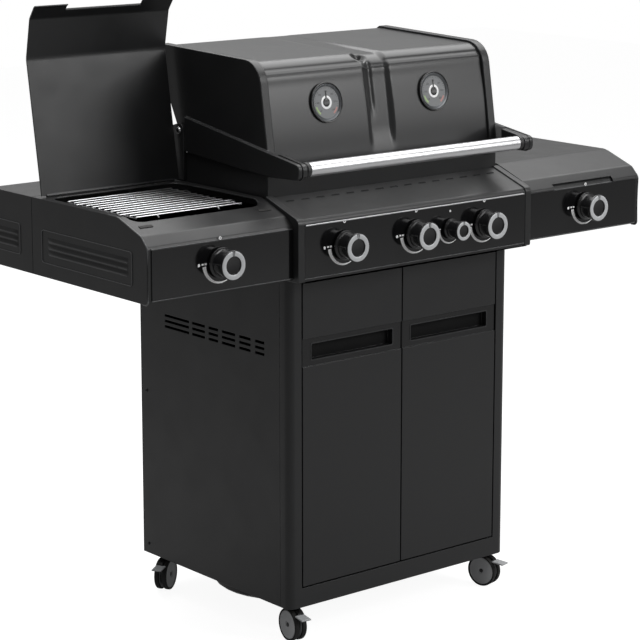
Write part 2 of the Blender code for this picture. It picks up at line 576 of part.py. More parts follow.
def make_side_lids(finishes, grill):
    """Bent sheet lid over each side burner: the left one stands open, the right one is closed."""
    lift = SIDE_LID_LIFT
    hinge_z = WORK_Z + lift + SIDE_LID_SHEET / 2
    for side, sign in SIDES.items():
        path = shelf_path()
        fold_z = path[1][1]
        corners = [(SHELF_FRONT, fold_z - SIDE_LID_DROP, 0), (SHELF_FRONT, fold_z, SIDE_LID_FOLD), *path[2:],
                   (SIDE_LID_HINGE, WORK_Z, 0)]
        outline = strip(rounded(corners, 3), -lift, -lift - SIDE_LID_SHEET)
        near, far = sign * (SHELF_X + 0.0055), sign * (SHELF_END - SIDE_LID_MARGIN)
        low, high = min(near, far), max(near, far)
        middle = (low + high) / 2
        axis_place = Vector((middle, SIDE_LID_HINGE, hinge_z))
        axis = empty(f"{side}_burner_lid_axis", axis_place, grill)
        panel = prism(outline, 0, low, high)
        barrel = rod((low + BARREL_INSET, SIDE_LID_HINGE, hinge_z),
                     (high - BARREL_INSET, SIDE_LID_HINGE, hinge_z), BARREL_RADIUS, 10)
        grip_z = corners[0][1] + SIDE_LID_GRIP_DEPTH
        grip = block((middle - SIDE_LID_GRIP_WIDTH / 2, SHELF_FRONT - 0.02, corners[0][1] - 0.01),
                     (middle + SIDE_LID_GRIP_WIDTH / 2, SHELF_FRONT + 0.02, grip_z))
        if side == "left":
            for solid in (panel, barrel, grip):
                rotated(solid, axis_place, "X", -SIDE_LID_OPEN)
        add(f"{side}_burner_lid", panel, finishes["powder_black"], axis, join=[barrel], cut=[grip])


# ---- Firebox ---------------------------------------------------------------------------------
def tray_floor():
    """Underside of the grease tray, on the runner lips."""
    return FIREBOX_FLOOR - TRAY_HEIGHT - TRAY_DROP


def make_firebox(finishes, grill):
    """Open firebox with a grate ledge, tray runners below and hinge brackets with pins."""
    rim_front, rim_back = WORK_Z + FIREBOX_RISE, WORK_Z + FIREBOX_BACK_RISE
    outline = [(FIREBOX_FRONT, FIREBOX_FLOOR), (FIREBOX_BACK, FIREBOX_FLOOR), (FIREBOX_BACK, rim_back),
               (FIREBOX_FRONT + FIREBOX_RIM_RUN, rim_back), (FIREBOX_FRONT, rim_front)]
    wall, reach = FIREBOX_WALL, FIREBOX_WALL + LEDGE_WIDTH
    upper = block((-FIREBOX_X + wall, FIREBOX_FRONT + wall, LEDGE_Z),
                  (FIREBOX_X - wall, FIREBOX_BACK - wall, rim_back + SLOT_REACH))
    lower = block((-FIREBOX_X + reach, FIREBOX_FRONT + reach, FIREBOX_FLOOR + FIREBOX_BASE),
                  (FIREBOX_X - reach, FIREBOX_BACK - reach, LEDGE_Z + 0.001))
    drain = block((-DRAIN_WIDTH / 2, FIREBOX_FRONT + DRAIN_MARGIN, FIREBOX_FLOOR - SLOT_REACH),
                  (DRAIN_WIDTH / 2, FIREBOX_BACK - DRAIN_MARGIN, FIREBOX_FLOOR + SLOT_REACH * 2))
    runners, brackets, pins = [], [], []
    runner_y = (TRAY_FRONT - TRAY_GAP, FIREBOX_BACK - 0.005)
    lip_z, root_z = tray_floor() - SEAT, FIREBOX_FLOOR + WALL
    ear_low, ear_high = WORK_Z + 0.0015, PIVOT_Z + EAR
    ear = rounded([(PIVOT_Y - EAR, ear_low, 0), (PIVOT_Y + EAR, ear_low, 0),
                   (PIVOT_Y + EAR, ear_high, EAR - 0.0001), (PIVOT_Y - EAR, ear_high, EAR - 0.0001)])
    for sign in SIDES.values():
        x = sign * (TRAY_HALF_WIDTH + TRAY_GAP)
        lip_x, back_x = x - sign * RUNNER_LIP, x + sign * SHEET
        hook = [(x, root_z), (x, lip_z), (lip_x, lip_z), (lip_x, lip_z - SHEET), (back_x, lip_z - SHEET),
                (back_x, root_z)]
        runners.append(prism(hook, 1, *runner_y))
        near, far = sign * (LID_X + SEAT * 2), sign * (LID_X + ARM_PROUD)
        brackets.append(across(ear, near, far))
        root = near + sign * SHEET
        pins.append(block((sign * (LID_X - WALL), PIVOT_Y - 0.012, WORK_Z + 0.004),
                          (root, FIREBOX_BACK - 0.001, WORK_Z + 0.045)))
        pins.append(rod((root, PIVOT_Y, PIVOT_Z), (sign * (LID_X - 0.008), PIVOT_Y, PIVOT_Z), PIVOT_PIN, 12))
    add("firebox", prism(outline, 0, -FIREBOX_X, FIREBOX_X), finishes["powder_black"], grill,
        join=[gathered(*runners), gathered(*brackets), gathered(*pins)], cut=[upper, lower, drain])

    tray_z = (tray_floor(), tray_floor() + TRAY_HEIGHT)
    tray_back = CABINET_DEPTH + SEAT
    slide = empty("grease_tray_axis", (0, tray_back, tray_z[0]), grill)
    tray_end, plate_x = tray_back + TRAY_PLATE, TRAY_HALF_WIDTH + TRAY_PLATE_LAP
    tray = block((-TRAY_HALF_WIDTH, TRAY_FRONT, tray_z[0]), (TRAY_HALF_WIDTH, tray_end, tray_z[1]))
    plate = block((-plate_x, tray_back, tray_z[0] - 0.004), (plate_x, tray_end, tray_z[1] + 0.002))
    dip = block((-TRAY_HALF_WIDTH + SHEET, TRAY_FRONT + SHEET, tray_z[0] + SHEET),
                (TRAY_HALF_WIDTH - SHEET, tray_back - 0.004, tray_z[1] + SLOT_REACH))
    add("grease_tray", tray, finishes["stainless"], slide, join=[plate], cut=[dip])


def make_cooking_pieces(finishes, grill):
    """Tube burners, cooking grates, warming rack and the gas manifold."""
    inner = FIREBOX_WALL + LEDGE_WIDTH + SEAT
    z = FIREBOX_FLOOR + TUBE_RISE
    for name, x in zip(("left", "middle", "right"), TUBE_X):
        tube = rod((x, FIREBOX_FRONT + inner, z), (x, FIREBOX_BACK - inner, z), TUBE_RADIUS, 10)
        add(f"{name}_burner", tube, finishes["stainless"], grill, smooth=True)

    ys = (FIREBOX_FRONT + GRATE_END_GAP, FIREBOX_BACK - GRATE_END_GAP)
    for side, sign in SIDES.items():
        low, high = sorted((sign * GRATE_CENTRE_GAP / 2, sign * (FIREBOX_X - GRATE_SIDE_GAP)))
        plate = block((low, ys[0], LEDGE_Z + SEAT), (high, ys[1], LEDGE_Z + GRATE_HEIGHT))
        pitch = (high - low - GRATE_BAR) / GRATE_GAPS
        slots = [block((low + GRATE_BAR + pitch * index, ys[0] + GRATE_FRAME, LEDGE_Z - SLOT_REACH),
                       (low + pitch * (index + 1), ys[1] - GRATE_FRAME, LEDGE_Z + SLOT_REACH * 3))
                 for index in range(GRATE_GAPS)]
        add(f"{side}_cooking_grate", plate, finishes["cast_iron"], grill, cut=[gathered(*slots)])

    rack_z, rack_x, half = WORK_Z + RACK_RISE, FIREBOX_X - RACK_SIDE_GAP, RACK_BAR / 2
    ys = (PIVOT_Y - RACK_NEAR, PIVOT_Y - RACK_FAR)
    plate, slots = bar_grid((-rack_x, rack_x), ys, RACK_BAR, rack_z, rack_z + RACK_BAR, RACK_BARS,
                            (-rack_x + half, 0, rack_x - half))
    ankle, under = LEDGE_Z + GRATE_HEIGHT + 0.0005, rack_z + SHEET
    legs = []
    for sign in SIDES.values():
        x, foot_x = sign * (rack_x - half), sign * (FIREBOX_X - RACK_FOOT_GAP)
        near, far, heel = x - sign * half, x + sign * half, foot_x - sign * 0.004
        outline = [(near, under), (near, ankle), (heel, ankle), (heel, LEDGE_Z + SEAT),
                   (foot_x, LEDGE_Z + SEAT), (foot_x, ankle + RACK_BAR),
                   (far, ankle + RACK_BAR), (far, under)]
        legs += [prism(outline, 1, y - half, y + half) for y in (ys[0] + RACK_LEG_IN, ys[1] - RACK_LEG_IN)]
    add("warming_rack", plate, finishes["stainless"], grill, join=[gathered(*legs)], cut=[slots])

    pipe_y = FASCIA_FRONT + PIPE_BACK
    valves = [block((x - VALVE_WIDTH / 2, FASCIA_FRONT + VALVE_DROP, KNOB_Z - VALVE_HEIGHT / 2),
                    (x + VALVE_WIDTH / 2, pipe_y, KNOB_Z + VALVE_HEIGHT / 2))
              for _, x, front, _ in knob_places() if front == FASCIA_FRONT]
    add("gas_manifold", rod((-CAB_X, pipe_y, KNOB_Z), (CAB_X, pipe_y, KNOB_Z), PIPE_RADIUS, 10),
        finishes["aluminium"], grill, join=[gathered(*valves)])


# ---- Main lid --------------------------------------------------------------------------------
def lid_corners():
    """Lid rim in Y, Z: front lower edge, front upper corner, rear upper corner, rear lower edge."""
    bottom, top = WORK_Z + LID_GAP_RISE, WORK_Z + LID_RISE
    return [(LID_FRONT, bottom, 0), (LID_FRONT_TOP, top - LID_TOP_FALL, LID_FRONT_ROUND),
            (LID_BACK_TOP, top, LID_BACK_ROUND), (LID_BACK, PIVOT_Z + 0.010, 0)]


def make_main_lid(finishes, grill):
    """Lid skin, end castings with handle arms, handle tube, and two thermometers with needles."""
    axis = empty("main_lid_axis", (0, PIVOT_Y, PIVOT_Z), grill)
    rim = rounded(lid_corners(), 6)
    bottom = WORK_Z + LID_GAP_RISE
    under = [(0.343, PIVOT_Z - 0.021), (0.303, bottom + 0.019), (0.169, bottom + 0.010)]
    skin_x = LID_X - LID_RIM - SEAT
    add("lid_skin", prism(strip(rim, LID_RIM_PROUD, LID_RIM_PROUD + SHEET), 0, -skin_x, skin_x),
        finishes["powder_black"], axis, smooth=True)

    arm_back, tip_front = PIVOT_Y - ARM_CLEARANCE, ARM_FRONT + 0.0007
    arm = rounded([(arm_back, PIVOT_Z + 0.030, 0), (ARM_FRONT, bottom + 0.0325, 0.012),
                   (ARM_FRONT, bottom + 0.003, 0.012), (0.041, bottom - 0.0015, 0),
                   (0.169, bottom + 0.0085, 0), (arm_back, bottom + 0.018, 0)])
    tip = rounded([(0.020, bottom + 0.0430, 0), (tip_front, bottom + 0.0318, 0.012),
                   (tip_front, bottom + 0.0038, 0.012), (0.020, bottom + 0.0010, 0)])
    inside = offset(rim, LID_RIM_PROUD + WALL)
    foot = bottom - 0.05
    window = [(inside[0].x, foot), *[tuple(point) for point in inside], (inside[-1].x, foot)]
    arm_x = LID_X + ARM_PROUD
    for side, sign in SIDES.items():
        hole = rod((sign * (LID_X - LID_RIM), PIVOT_Y, PIVOT_Z), (sign * (LID_X + SEAT), PIVOT_Y, PIVOT_Z),
                   PIVOT_PIN + PIVOT_CLEARANCE, 12)
        casting = across([tuple(point) for point in rim] + under, sign * (LID_X - LID_RIM), sign * LID_X)
        add(f"{side}_lid_end", casting, finishes["powder_black"], axis,
            join=[across(arm, sign * (LID_X - WALL), sign * arm_x),
                  across(tip, sign * (arm_x - ARM_TIP), sign * (arm_x - 0.004))],
            cut=[across(window, sign * (LID_X - LID_RIM - SLOT_REACH), sign * (LID_X - LID_PLATE)), hole])

    handle_z = WORK_Z + HANDLE_RISE
    handle_x = LID_X + ARM_PROUD - ARM_TIP - SEAT
    add("lid_handle", rod((-handle_x, HANDLE_Y, handle_z), (handle_x, HANDLE_Y, handle_z), HANDLE_RADIUS, 20),
        finishes["stainless"], axis, smooth=True)

    (y0, z0, _), (y1, z1, _) = lid_corners()[:2]
    lean = math.atan2(y1 - y0, z1 - z0)
    out = Vector((0, -math.cos(lean), math.sin(lean)))
    gauge_z = WORK_Z + GAUGE_RISE
    on_rim = Vector((0, y0 + (gauge_z - z0) * math.tan(lean), gauge_z))
    for side, sign in SIDES.items():
        seat = on_rim + ACROSS * sign * GAUGE_X - out * (LID_RIM_PROUD - SEAT)
        face = GAUGE_HEIGHT - GAUGE_RECESS
        dial = GAUGE_RADIUS - GAUGE_BEZEL
        body = [(0, 0), (GAUGE_RADIUS, 0), (GAUGE_RADIUS, GAUGE_HEIGHT - 0.002),
                (GAUGE_RADIUS - 0.002, GAUGE_HEIGHT), (dial, GAUGE_HEIGHT), (dial, face), (0, face)]
        add(f"{side}_thermometer", turned(body, seat, out, 28), finishes["gauge_grey"], axis, smooth=True)
        base = seat + out * (face + SEAT)
        needle_axis = empty(f"{side}_needle_axis", base, axis)
        hub = rod(base, base + out * NEEDLE_HUB_HEIGHT, NEEDLE_HUB, 16)
        upward = ACROSS.cross(out).normalized() * -1
        blade = bmesh.new()
        root = ACROSS * NEEDLE_HALF_WIDTH
        corners = [base + root, base + upward * NEEDLE_LENGTH, base - root]
        ring = [blade.verts.new(point + out * height)
                for height in (NEEDLE_LOW, NEEDLE_HIGH) for point in corners]
        for indices in ((0, 1, 2), (5, 4, 3), (0, 3, 4, 1), (1, 4, 5, 2), (2, 5, 3, 0)):
            blade.faces.new([ring[index] for index in indices])
        bmesh.ops.recalc_face_normals(blade, faces=blade.faces)
        add(f"{side}_needle", hub, finishes["gloss_black"], needle_axis, join=[blade])


# ---- Knobs and casters -----------------------------------------------------------------------
def make_knobs(finishes, grill):
    """Push-in stems through the fascias, each carrying a turning knob."""
    out = -BACK
    for name, x, front, scale in knob_places():
        base = Vector((x, front, KNOB_Z))
        push = empty(f"{name}_push_axis", base, grill)
        depth = KNOB_LENGTH - KNOB_SOCKET
        add(f"{name}_stem", rod(base + out * (depth - SEAT), base - out * STEM_TAIL, STEM_RADIUS, 12),
            finishes["stainless"], push)
        turn = empty(f"{name}_axis", base + out * KNOB_LENGTH, push)
        bore = STEM_RADIUS + SEAT
        radius, skirt = KNOB_RADIUS * scale, KNOB_TRAVEL + 0.0005
        end = KNOB_LENGTH
        profile = [(0, depth), (bore, depth), (bore, skirt), (radius + 0.001, skirt),
                   (radius + 0.001, skirt + 0.004),
                   (radius * 0.90, skirt + 0.006), (radius * 0.88, end - 0.007), (radius, end - 0.005),
                   (radius, end - 0.0005), (radius * 0.70, end), (radius * 0.67, end - KNOB_DISH),
                   (0, end - KNOB_DISH)]
        add(name, turned(profile, base, out, 18), finishes["gloss_black"], turn, smooth=True)


def make_casters(finishes, grill):
    """Swivel housings, twin wheels on one axle, and brake pedals."""
    half = FORK_THICKNESS / 2
    cheek_run = WHEEL_RADIUS - 0.010
    web_corner = (CASTER_TRAIL + WHEEL_RADIUS - 0.008, WHEEL_RADIUS * 2 - 0.006)
    pedal_out, pedal_up = WHEEL_RADIUS + PEDAL_AXIS, WHEEL_RADIUS + PEDAL_RISE
    pedal_tip = WHEEL_RADIUS + PEDAL_REACH - pedal_out
    for name, heading in CASTER_HEADINGS.items():
        x = (CAB_X - CASTER_INSET_X) * (-1 if "left" in name else 1)
        y = CASTER_INSET_Y if "front" in name else CABINET_DEPTH - CASTER_INSET_Y
        swivel = Vector((x, y, BASE_Z - SEAT))
        angle = math.radians(heading)
        along = Vector((math.cos(angle), math.sin(angle), 0))
        axle = Vector((-along.y, along.x, 0))
        hub = Vector((x, y, WHEEL_RADIUS)) + along * CASTER_TRAIL
        swivel_axis = empty(f"{name}_caster_axis", swivel, grill)

        top = swivel.z - SHEET
        cheek = rounded([(-FORK_TOP_FRONT, top, 0), (-FORK_TOP_FRONT, WHEEL_RADIUS + 0.018, 0),
                         (CASTER_TRAIL - cheek_run, FORK_FLOOR_GAP, 0.018),
                         (CASTER_TRAIL + cheek_run, FORK_FLOOR_GAP, 0.018), (*web_corner, 0.003),
                         (FORK_TOP_BACK, top, 0)], 3)
        web = prism(cheek, 1, -half, half)
        turn = Matrix.Rotation(angle, 4, "Z")
        bmesh.ops.transform(web, matrix=Matrix.Translation((x, y, 0)) @ turn, verts=web.verts)
        plate = rod(swivel - UP * CASTER_PLATE, swivel, CASTER_PLATE_RADIUS, 16)
        bore = rod(hub - axle * 0.02, hub + axle * 0.02, AXLE_RADIUS + FORK_CLEARANCE, 16)
        add(f"{name}_caster", web, finishes["black_plastic"], swivel_axis, join=[plate], cut=[bore])

        wheel_axis = empty(f"{name}_wheel_axis", hub, swivel_axis)
        outer, inner = WHEEL_WIDTH / 2, half + FORK_CLEARANCE
        side = [(AXLE_RADIUS, inner), (WHEEL_RADIUS - 0.002, inner), (WHEEL_RADIUS, inner + 0.0015),
                (WHEEL_RADIUS, outer - 0.003), (WHEEL_RADIUS - 0.003, outer), (0, outer)]
        profile = [(radius, -distance) for radius, distance in side[::-1]] + side
        tyres = turned(profile, hub, axle, 20, 0)
        add(f"{name}_wheel", tyres, finishes["wheel_grey"], wheel_axis, smooth=True)

        pivot = hub + along * pedal_out + UP * pedal_up
        pedal_axis = empty(f"{name}_pedal_axis", pivot, swivel_axis)
        tab = rounded([(-PEDAL_HEEL, 0.0025, 0), (-PEDAL_HEEL, -0.0005, 0),
                       (pedal_tip, -0.0025, 0), (pedal_tip, 0.0005, 0)])
        pedal = prism(tab, 1, -PEDAL_HALF_WIDTH, PEDAL_HALF_WIDTH)
        bmesh.ops.transform(pedal, matrix=Matrix.Translation(pivot) @ turn, verts=pedal.verts)
        add(f"{name}_pedal", pedal, finishes["pedal_grey"], pedal_axis)


# ---- Whole grill -----------------------------------------------------------------------------
PLACES = {}


def main():
    for old in list(bpy.data.objects):
        bpy.data.objects.remove(old)
    finishes = {
        "powder_black": material("powder_black", (0.030, 0.030, 0.032), 0.45, 0.0),
        "gloss_black": material("gloss_black", (0.010, 0.010, 0.011), 0.12, 0.0),
        "stainless": material("stainless", (0.62, 0.62, 0.63), 0.25, 1.0),
        "cast_iron": material("cast_iron", (0.020, 0.020, 0.021), 0.60, 0.2),
        "aluminium": material("aluminium", (0.55, 0.55, 0.56), 0.40, 1.0),
        "gauge_grey": material("gauge_grey", (0.35, 0.35, 0.36), 0.35, 0.3),
        "black_plastic": material("black_plastic", (0.015, 0.015, 0.016), 0.50, 0.0),
        "wheel_grey": material("wheel_grey", (0.22, 0.22, 0.23), 0.55, 0.0),
        "pedal_grey": material("pedal_grey", (0.55, 0.56, 0.57), 0.50, 0.0),
    }
    grill = empty("grill", (0, 0, 0))
    for make in (make_cabinet, make_doors, make_console, make_shelves, make_side_burners, make_side_lids,
                 make_firebox, make_cooking_pieces, make_main_lid, make_knobs, make_casters):
        make(finishes, grill)
    grill.location.y = SHIFT_Y


main()
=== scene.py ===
"""Gas barbecue grill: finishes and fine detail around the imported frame, with its stage and camera."""
import json
import math

import bmesh
import bpy
import numpy as np
from bpy.props import FloatProperty, FloatVectorProperty, IntProperty, PointerProperty
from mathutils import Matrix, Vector


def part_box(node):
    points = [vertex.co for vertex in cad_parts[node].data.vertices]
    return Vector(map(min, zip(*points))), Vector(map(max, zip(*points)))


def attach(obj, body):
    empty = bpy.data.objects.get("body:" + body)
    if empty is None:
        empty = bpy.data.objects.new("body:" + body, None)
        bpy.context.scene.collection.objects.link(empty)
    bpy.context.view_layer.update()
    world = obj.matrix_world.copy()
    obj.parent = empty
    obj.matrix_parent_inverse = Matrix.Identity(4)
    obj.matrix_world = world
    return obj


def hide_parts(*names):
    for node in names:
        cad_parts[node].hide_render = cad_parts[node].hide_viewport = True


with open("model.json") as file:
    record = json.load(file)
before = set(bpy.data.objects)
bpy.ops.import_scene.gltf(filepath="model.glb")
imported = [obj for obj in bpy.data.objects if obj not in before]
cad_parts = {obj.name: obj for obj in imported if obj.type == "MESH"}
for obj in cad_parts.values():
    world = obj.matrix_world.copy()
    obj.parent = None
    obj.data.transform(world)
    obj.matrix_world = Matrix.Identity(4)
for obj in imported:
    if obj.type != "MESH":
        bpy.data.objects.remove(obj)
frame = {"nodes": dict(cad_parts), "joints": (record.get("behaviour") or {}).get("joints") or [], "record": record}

bl_info = {
    "name": "Gas Barbecue Grill",
    "version": (1, 0, 0),
    "blender": (4, 5, 0),
    "location": "View3D > Sidebar > Grill",
    "description": "Builds the visible pieces, finishes and stage of a gas barbecue grill",
    "category": "Object",
}

NODES = frame["nodes"]
BODY_OF = {node: body for body, members in frame["record"]["behaviour"]["bodies"].items() for node in members}
JOINTS = {joint["child"]: joint for joint in frame["joints"]}
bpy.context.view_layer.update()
SIDES = {"left": -1.0, "right": 1.0}
CASTERS = ("front_left", "front_right", "rear_left", "rear_right")
KNOBS = tuple(f"knob_{number}" for number in range(1, 7))
SMALL_KNOB = "knob_4"
TAU = 2 * math.pi


def low(node):
    """Lowest corner of a frame node, as an array."""
    return np.array(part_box(node)[0])


def high(node):
    """Highest corner of a frame node, as an array."""
    return np.array(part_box(node)[1])


# ---- Sizes and colours ------------------------------------------------------------------------
def size(name, text, default, top=1.0):
    """A length property in metres."""
    return FloatProperty(name=name, description=text, default=default, min=0.0, max=top, precision=4,
                         subtype="DISTANCE", unit="LENGTH")


def tint(name, text, default):
    """A linear colour property."""
    return FloatVectorProperty(name=name, description=text, default=default, size=3, min=0.0, max=1.0,
                               subtype="COLOR")


class GrillSizes(bpy.types.PropertyGroup):
    """Sizes of the fine detail that is built around the frame."""
    edge: size("Sheet edge", "Rounding of folded sheet edges", 0.0009)
    channel_depth: size("Channel depth", "Depth of the pressed channel in the lid", 0.0048)
    channel_width: size("Channel width", "Width of the pressed channel in the lid", 0.078)
    channel_wall: size("Channel wall", "Width of the channel's sloping sides", 0.0170)
    bulge: size("Lid bulge", "How far the middle of the lid's front stands out", 0.0040)
    crease: size("Crease depth", "Depth of the pressed lines along the lid's corner", 0.0011)
    dash_length: size("Vent length", "Length of one vent dash on the console slope", 0.0205)
    dash_pitch: size("Vent pitch", "Distance from one vent dash to the next", 0.0388)
    dashes: IntProperty(name="Vent count", description="Number of vent dashes on the slope", default=15, min=1)
    bar_radius: size("Grate bar", "Radius of the bright grate bars", 0.0015)
    bars: IntProperty(name="Grate bars", description="Number of bright bars on a side grate", default=12, min=3)
    louver: size("Louver depth", "How far a shelf louver stands proud", 0.0034)
    arc_radius: size("Dial radius", "Middle radius of the printed arc round a knob", 0.0385)
    screw: size("Screw head", "Radius of a screw head", 0.0042)


class GrillColours(bpy.types.PropertyGroup):
    """Colours of the finishes."""
    powder: tint("Powder coat", "Satin black powder coat", (0.0125, 0.0127, 0.0132))
    # Lighter edge coat: partly scuffed coat, partly painted highlight along bevelled edges and lips.
    edge_highlight_and_wear: tint("Powder edge", "Powder coat where it thins along edges", (0.034, 0.035, 0.037))
    enamel: tint("Gloss enamel", "Gloss black of the fascias", (0.0042, 0.0042, 0.0046))
    # Painted shade: flat black standing in for the shade inside slots, vents, screw crosses, bolt sockets and seams.
    painted_shade: tint("Shadow black", "Matt black inside slots and vents", (0.0022, 0.0022, 0.0024))
    steel: tint("Stainless steel", "Brushed stainless steel", (0.60, 0.60, 0.61))
    iron: tint("Cast iron", "Matt enamelled cast iron", (0.018, 0.018, 0.019))
    aluminium: tint("Aluminium", "Cast aluminium of the gas manifold", (0.50, 0.50, 0.51))
    ring: tint("Ring grey", "Light grey ring on a knob's face", (0.56, 0.57, 0.58))
    dial: tint("Dial face", "Thermometer dial", (0.19, 0.195, 0.20))
    gauge: tint("Gauge ring", "Grey ring round the dial", (0.10, 0.105, 0.11))
    print_white: tint("Print", "Printed marks", (0.93, 0.93, 0.93))
    print_green: tint("Low mark", "Low heat mark on the dial", (0.33, 0.46, 0.20))
    print_red: tint("High mark", "High heat mark on the dial", (0.45, 0.22, 0.20))
    rubber: tint("Rubber", "Tyres and bumpers", (0.012, 0.012, 0.012))
    hub: tint("Hub grey", "Wheel covers and brake tabs", (0.48, 0.485, 0.495))
    plastic: tint("Black plastic", "Moulded black plastic", (0.010, 0.010, 0.0105))
    floor: tint("Floor", "Pale studio floor", (0.26, 0.26, 0.26))


# ---- Surfaces --------------------------------------------------------------------------------
def filleted(corners, steps=6, closed=False):
    """Polyline of (a, b, radius) corners, each round one drawn as the arc that is tangent to its two edges:
    centre + rotation(t * turn) applied to start - centre, for t from 0 to 1."""
    points = np.array([corner[:2] for corner in corners], float)
    line = []
    for index, corner in enumerate(corners):
        radius = corner[2] if len(corner) > 2 else 0.0
        ends = not closed and index in (0, len(corners) - 1)
        if ends or radius <= 0:
            line.append(points[index][None])
            continue
        back, ahead = points[index - 1] - points[index], points[(index + 1) % len(points)] - points[index]
        back_length, ahead_length = np.linalg.norm(back), np.linalg.norm(ahead)
        back, ahead = back / back_length, ahead / ahead_length
        half = math.acos(max(-1.0, min(1.0, float(back @ ahead)))) / 2
        reach = min(radius / math.tan(half), back_length * 0.499, ahead_length * 0.499)
        centre = points[index] + (back + ahead) / np.linalg.norm(back + ahead) * reach / math.cos(half)
        start, end = points[index] + back * reach - centre, points[index] + ahead * reach - centre
        turn = math.atan2(start[0] * end[1] - start[1] * end[0], float(start @ end))
        angle = np.linspace(0, turn, steps + 1)
        cos, sin = np.cos(angle), np.sin(angle)
        line.append(centre + np.stack([start[0] * cos - start[1] * sin, start[0] * sin + start[1] * cos], -1))
    return np.concatenate(line)


def surface(rings, closed=True, capped=(True, True), looped=False):
    """Quads over a grid of points, rings x around x 3.  Closed joins each ring's last point to its first, looped
    joins the last ring to the first, and a cap draws an end ring in to its own middle."""
    rings = np.asarray(rings, float)
    if looped:
        capped = (False, False)
        rings = np.concatenate([rings, rings[:1]])
    if capped[0]:
        rings = np.concatenate([np.broadcast_to(rings[0].mean(0), rings[:1].shape), rings])
    if capped[1]:
        rings = np.concatenate([rings, np.broadcast_to(rings[-1].mean(0), rings[:1].shape)])
    rows, around = rings.shape[:2]
    index = np.arange(rows * around).reshape(rows, around)
    nxt = np.roll(index, -1, 1) if closed else index[:, 1:]
    base = index if closed else index[:, :-1]
    quads = np.stack([base[:-1], nxt[:-1], nxt[1:], base[1:]], -1).reshape(-1, 4)
    return rings.reshape(-1, 3), quads


def frame_of(out, up=(0.0, 0.0, 1.0)):
    """Rows across, upward and out of a face that looks along out.  When out runs along up, +y is up instead."""
    out = np.array(out, float) / np.linalg.norm(out)
    across = np.cross(np.array(up, float), out)
    if np.linalg.norm(across) < 1e-6:
        across = np.cross((0.0, 1.0, 0.0), out)
    across /= np.linalg.norm(across)
    return np.array([across, np.cross(out, across), out])


def turned(profile, seat, out, count=48, up=(0.0, 0.0, 1.0), ring=False, teeth=0, bite=0.0):
    """Surface of revolution: profile rows of (radius, height) turned about the line through seat along out.  With
    teeth, each radius r > 0 becomes r - bite * (1 + cos(teeth * angle)) / 2.  A ring's profile is a closed loop."""
    profile = np.asarray(profile, float)
    if ring:
        profile = np.concatenate([profile, profile[:1]])
    angle = np.linspace(0, TAU, count, endpoint=False)
    radius = profile[:, :1] - bite * (1 + np.cos(teeth * angle))[None] / 2 * (profile[:, :1] > 0)
    rings = np.stack([radius * np.cos(angle), radius * np.sin(angle),
                      np.broadcast_to(profile[:, 1:2], radius.shape)], -1)
    capped = (not ring and profile[0, 0] > 0, not ring and profile[-1, 0] > 0)
    return surface(rings @ frame_of(out, up) + np.asarray(seat), capped=capped)


def arc(section, start, end, seat, axes, steps=40, taper=1.0):
    """A section of (radius, height) points carried round seat from one angle to another, in degrees from across
    towards up.  Its width about its middle radius shrinks evenly to taper times at the end."""
    section = np.asarray(section, float)
    angle = np.radians(np.linspace(start, end, steps))[:, None]
    share = np.linspace(1.0, taper, steps)[:, None]
    middle = (section[:, 0].min() + section[:, 0].max()) / 2
    radius = middle + (section[None, :, 0] - middle) * share
    height = np.broadcast_to(section[None, :, 1], radius.shape)
    return surface(np.stack([radius * np.cos(angle), radius * np.sin(angle), height], -1) @ axes + np.asarray(seat))


def block_section(low_side, high_side, bottom, top, radius=0.0002):
    """Rounded rectangle between two sides and two heights."""
    return filleted([(low_side, bottom, radius), (high_side, bottom, radius), (high_side, top, radius),
                     (low_side, top, radius)], 2, closed=True)


def shell(outer, inner):
    """Closed sheet between two matching grids: both faces and the four borders between them."""
    rows, columns = outer.shape[:2]
    over, under = np.arange(2 * rows * columns).reshape(2, rows, columns)

    def quads(a, b, c, d):
        return np.stack([a, b, c, d], -1).reshape(-1, 4)
    faces = [quads(over[:-1, :-1], over[:-1, 1:], over[1:, 1:], over[1:, :-1]),
             quads(under[:-1, :-1], under[1:, :-1], under[1:, 1:], under[:-1, 1:])]
    for upper, lower in ((over[0], under[0]), (over[-1], under[-1]), (over[:, 0], under[:, 0]),
                         (over[:, -1], under[:, -1])):
        faces.append(quads(upper[:-1], lower[:-1], lower[1:], upper[1:]))
    return np.concatenate([outer.reshape(-1, 3), inner.reshape(-1, 3)]), np.concatenate(faces)


def smooth_step(value):
    """0 below 0, 1 above 1, and 3v^2 - 2v^3 between."""
    value = np.clip(value, 0.0, 1.0)
    return value * value * (3 - 2 * value)


def swept(section, path, up=(0.0, 0.0, 1.0)):
    """A closed section of (side, up) points carried along a path of 3-D points, square to it at each one."""
    section, path = np.asarray(section, float), np.asarray(path, float)
    ahead = np.gradient(path, axis=0)
    ahead /= np.linalg.norm(ahead, axis=1, keepdims=True)
    side = np.cross(ahead, np.broadcast_to(np.array(up, float), ahead.shape))
    side /= np.linalg.norm(side, axis=1, keepdims=True)
    upward = np.cross(side, ahead)
    rings = path[:, None] + section[None, :, :1] * side[:, None] + section[None, :, 1:] * upward[:, None]
    return surface(rings)


def round_section(radius, count=12):
    """Circle of side, up points."""
    angle = np.linspace(0, TAU, count, endpoint=False)
    return np.stack([radius * np.cos(angle), radius * np.sin(angle)], -1)


def box_section(width, height, radius, steps=3):
    """Rounded rectangle of side, up points, centred."""
    w, h = width / 2, height / 2
    return filleted([(-w, -h, radius), (w, -h, radius), (w, h, radius), (-w, h, radius)], steps, closed=True)


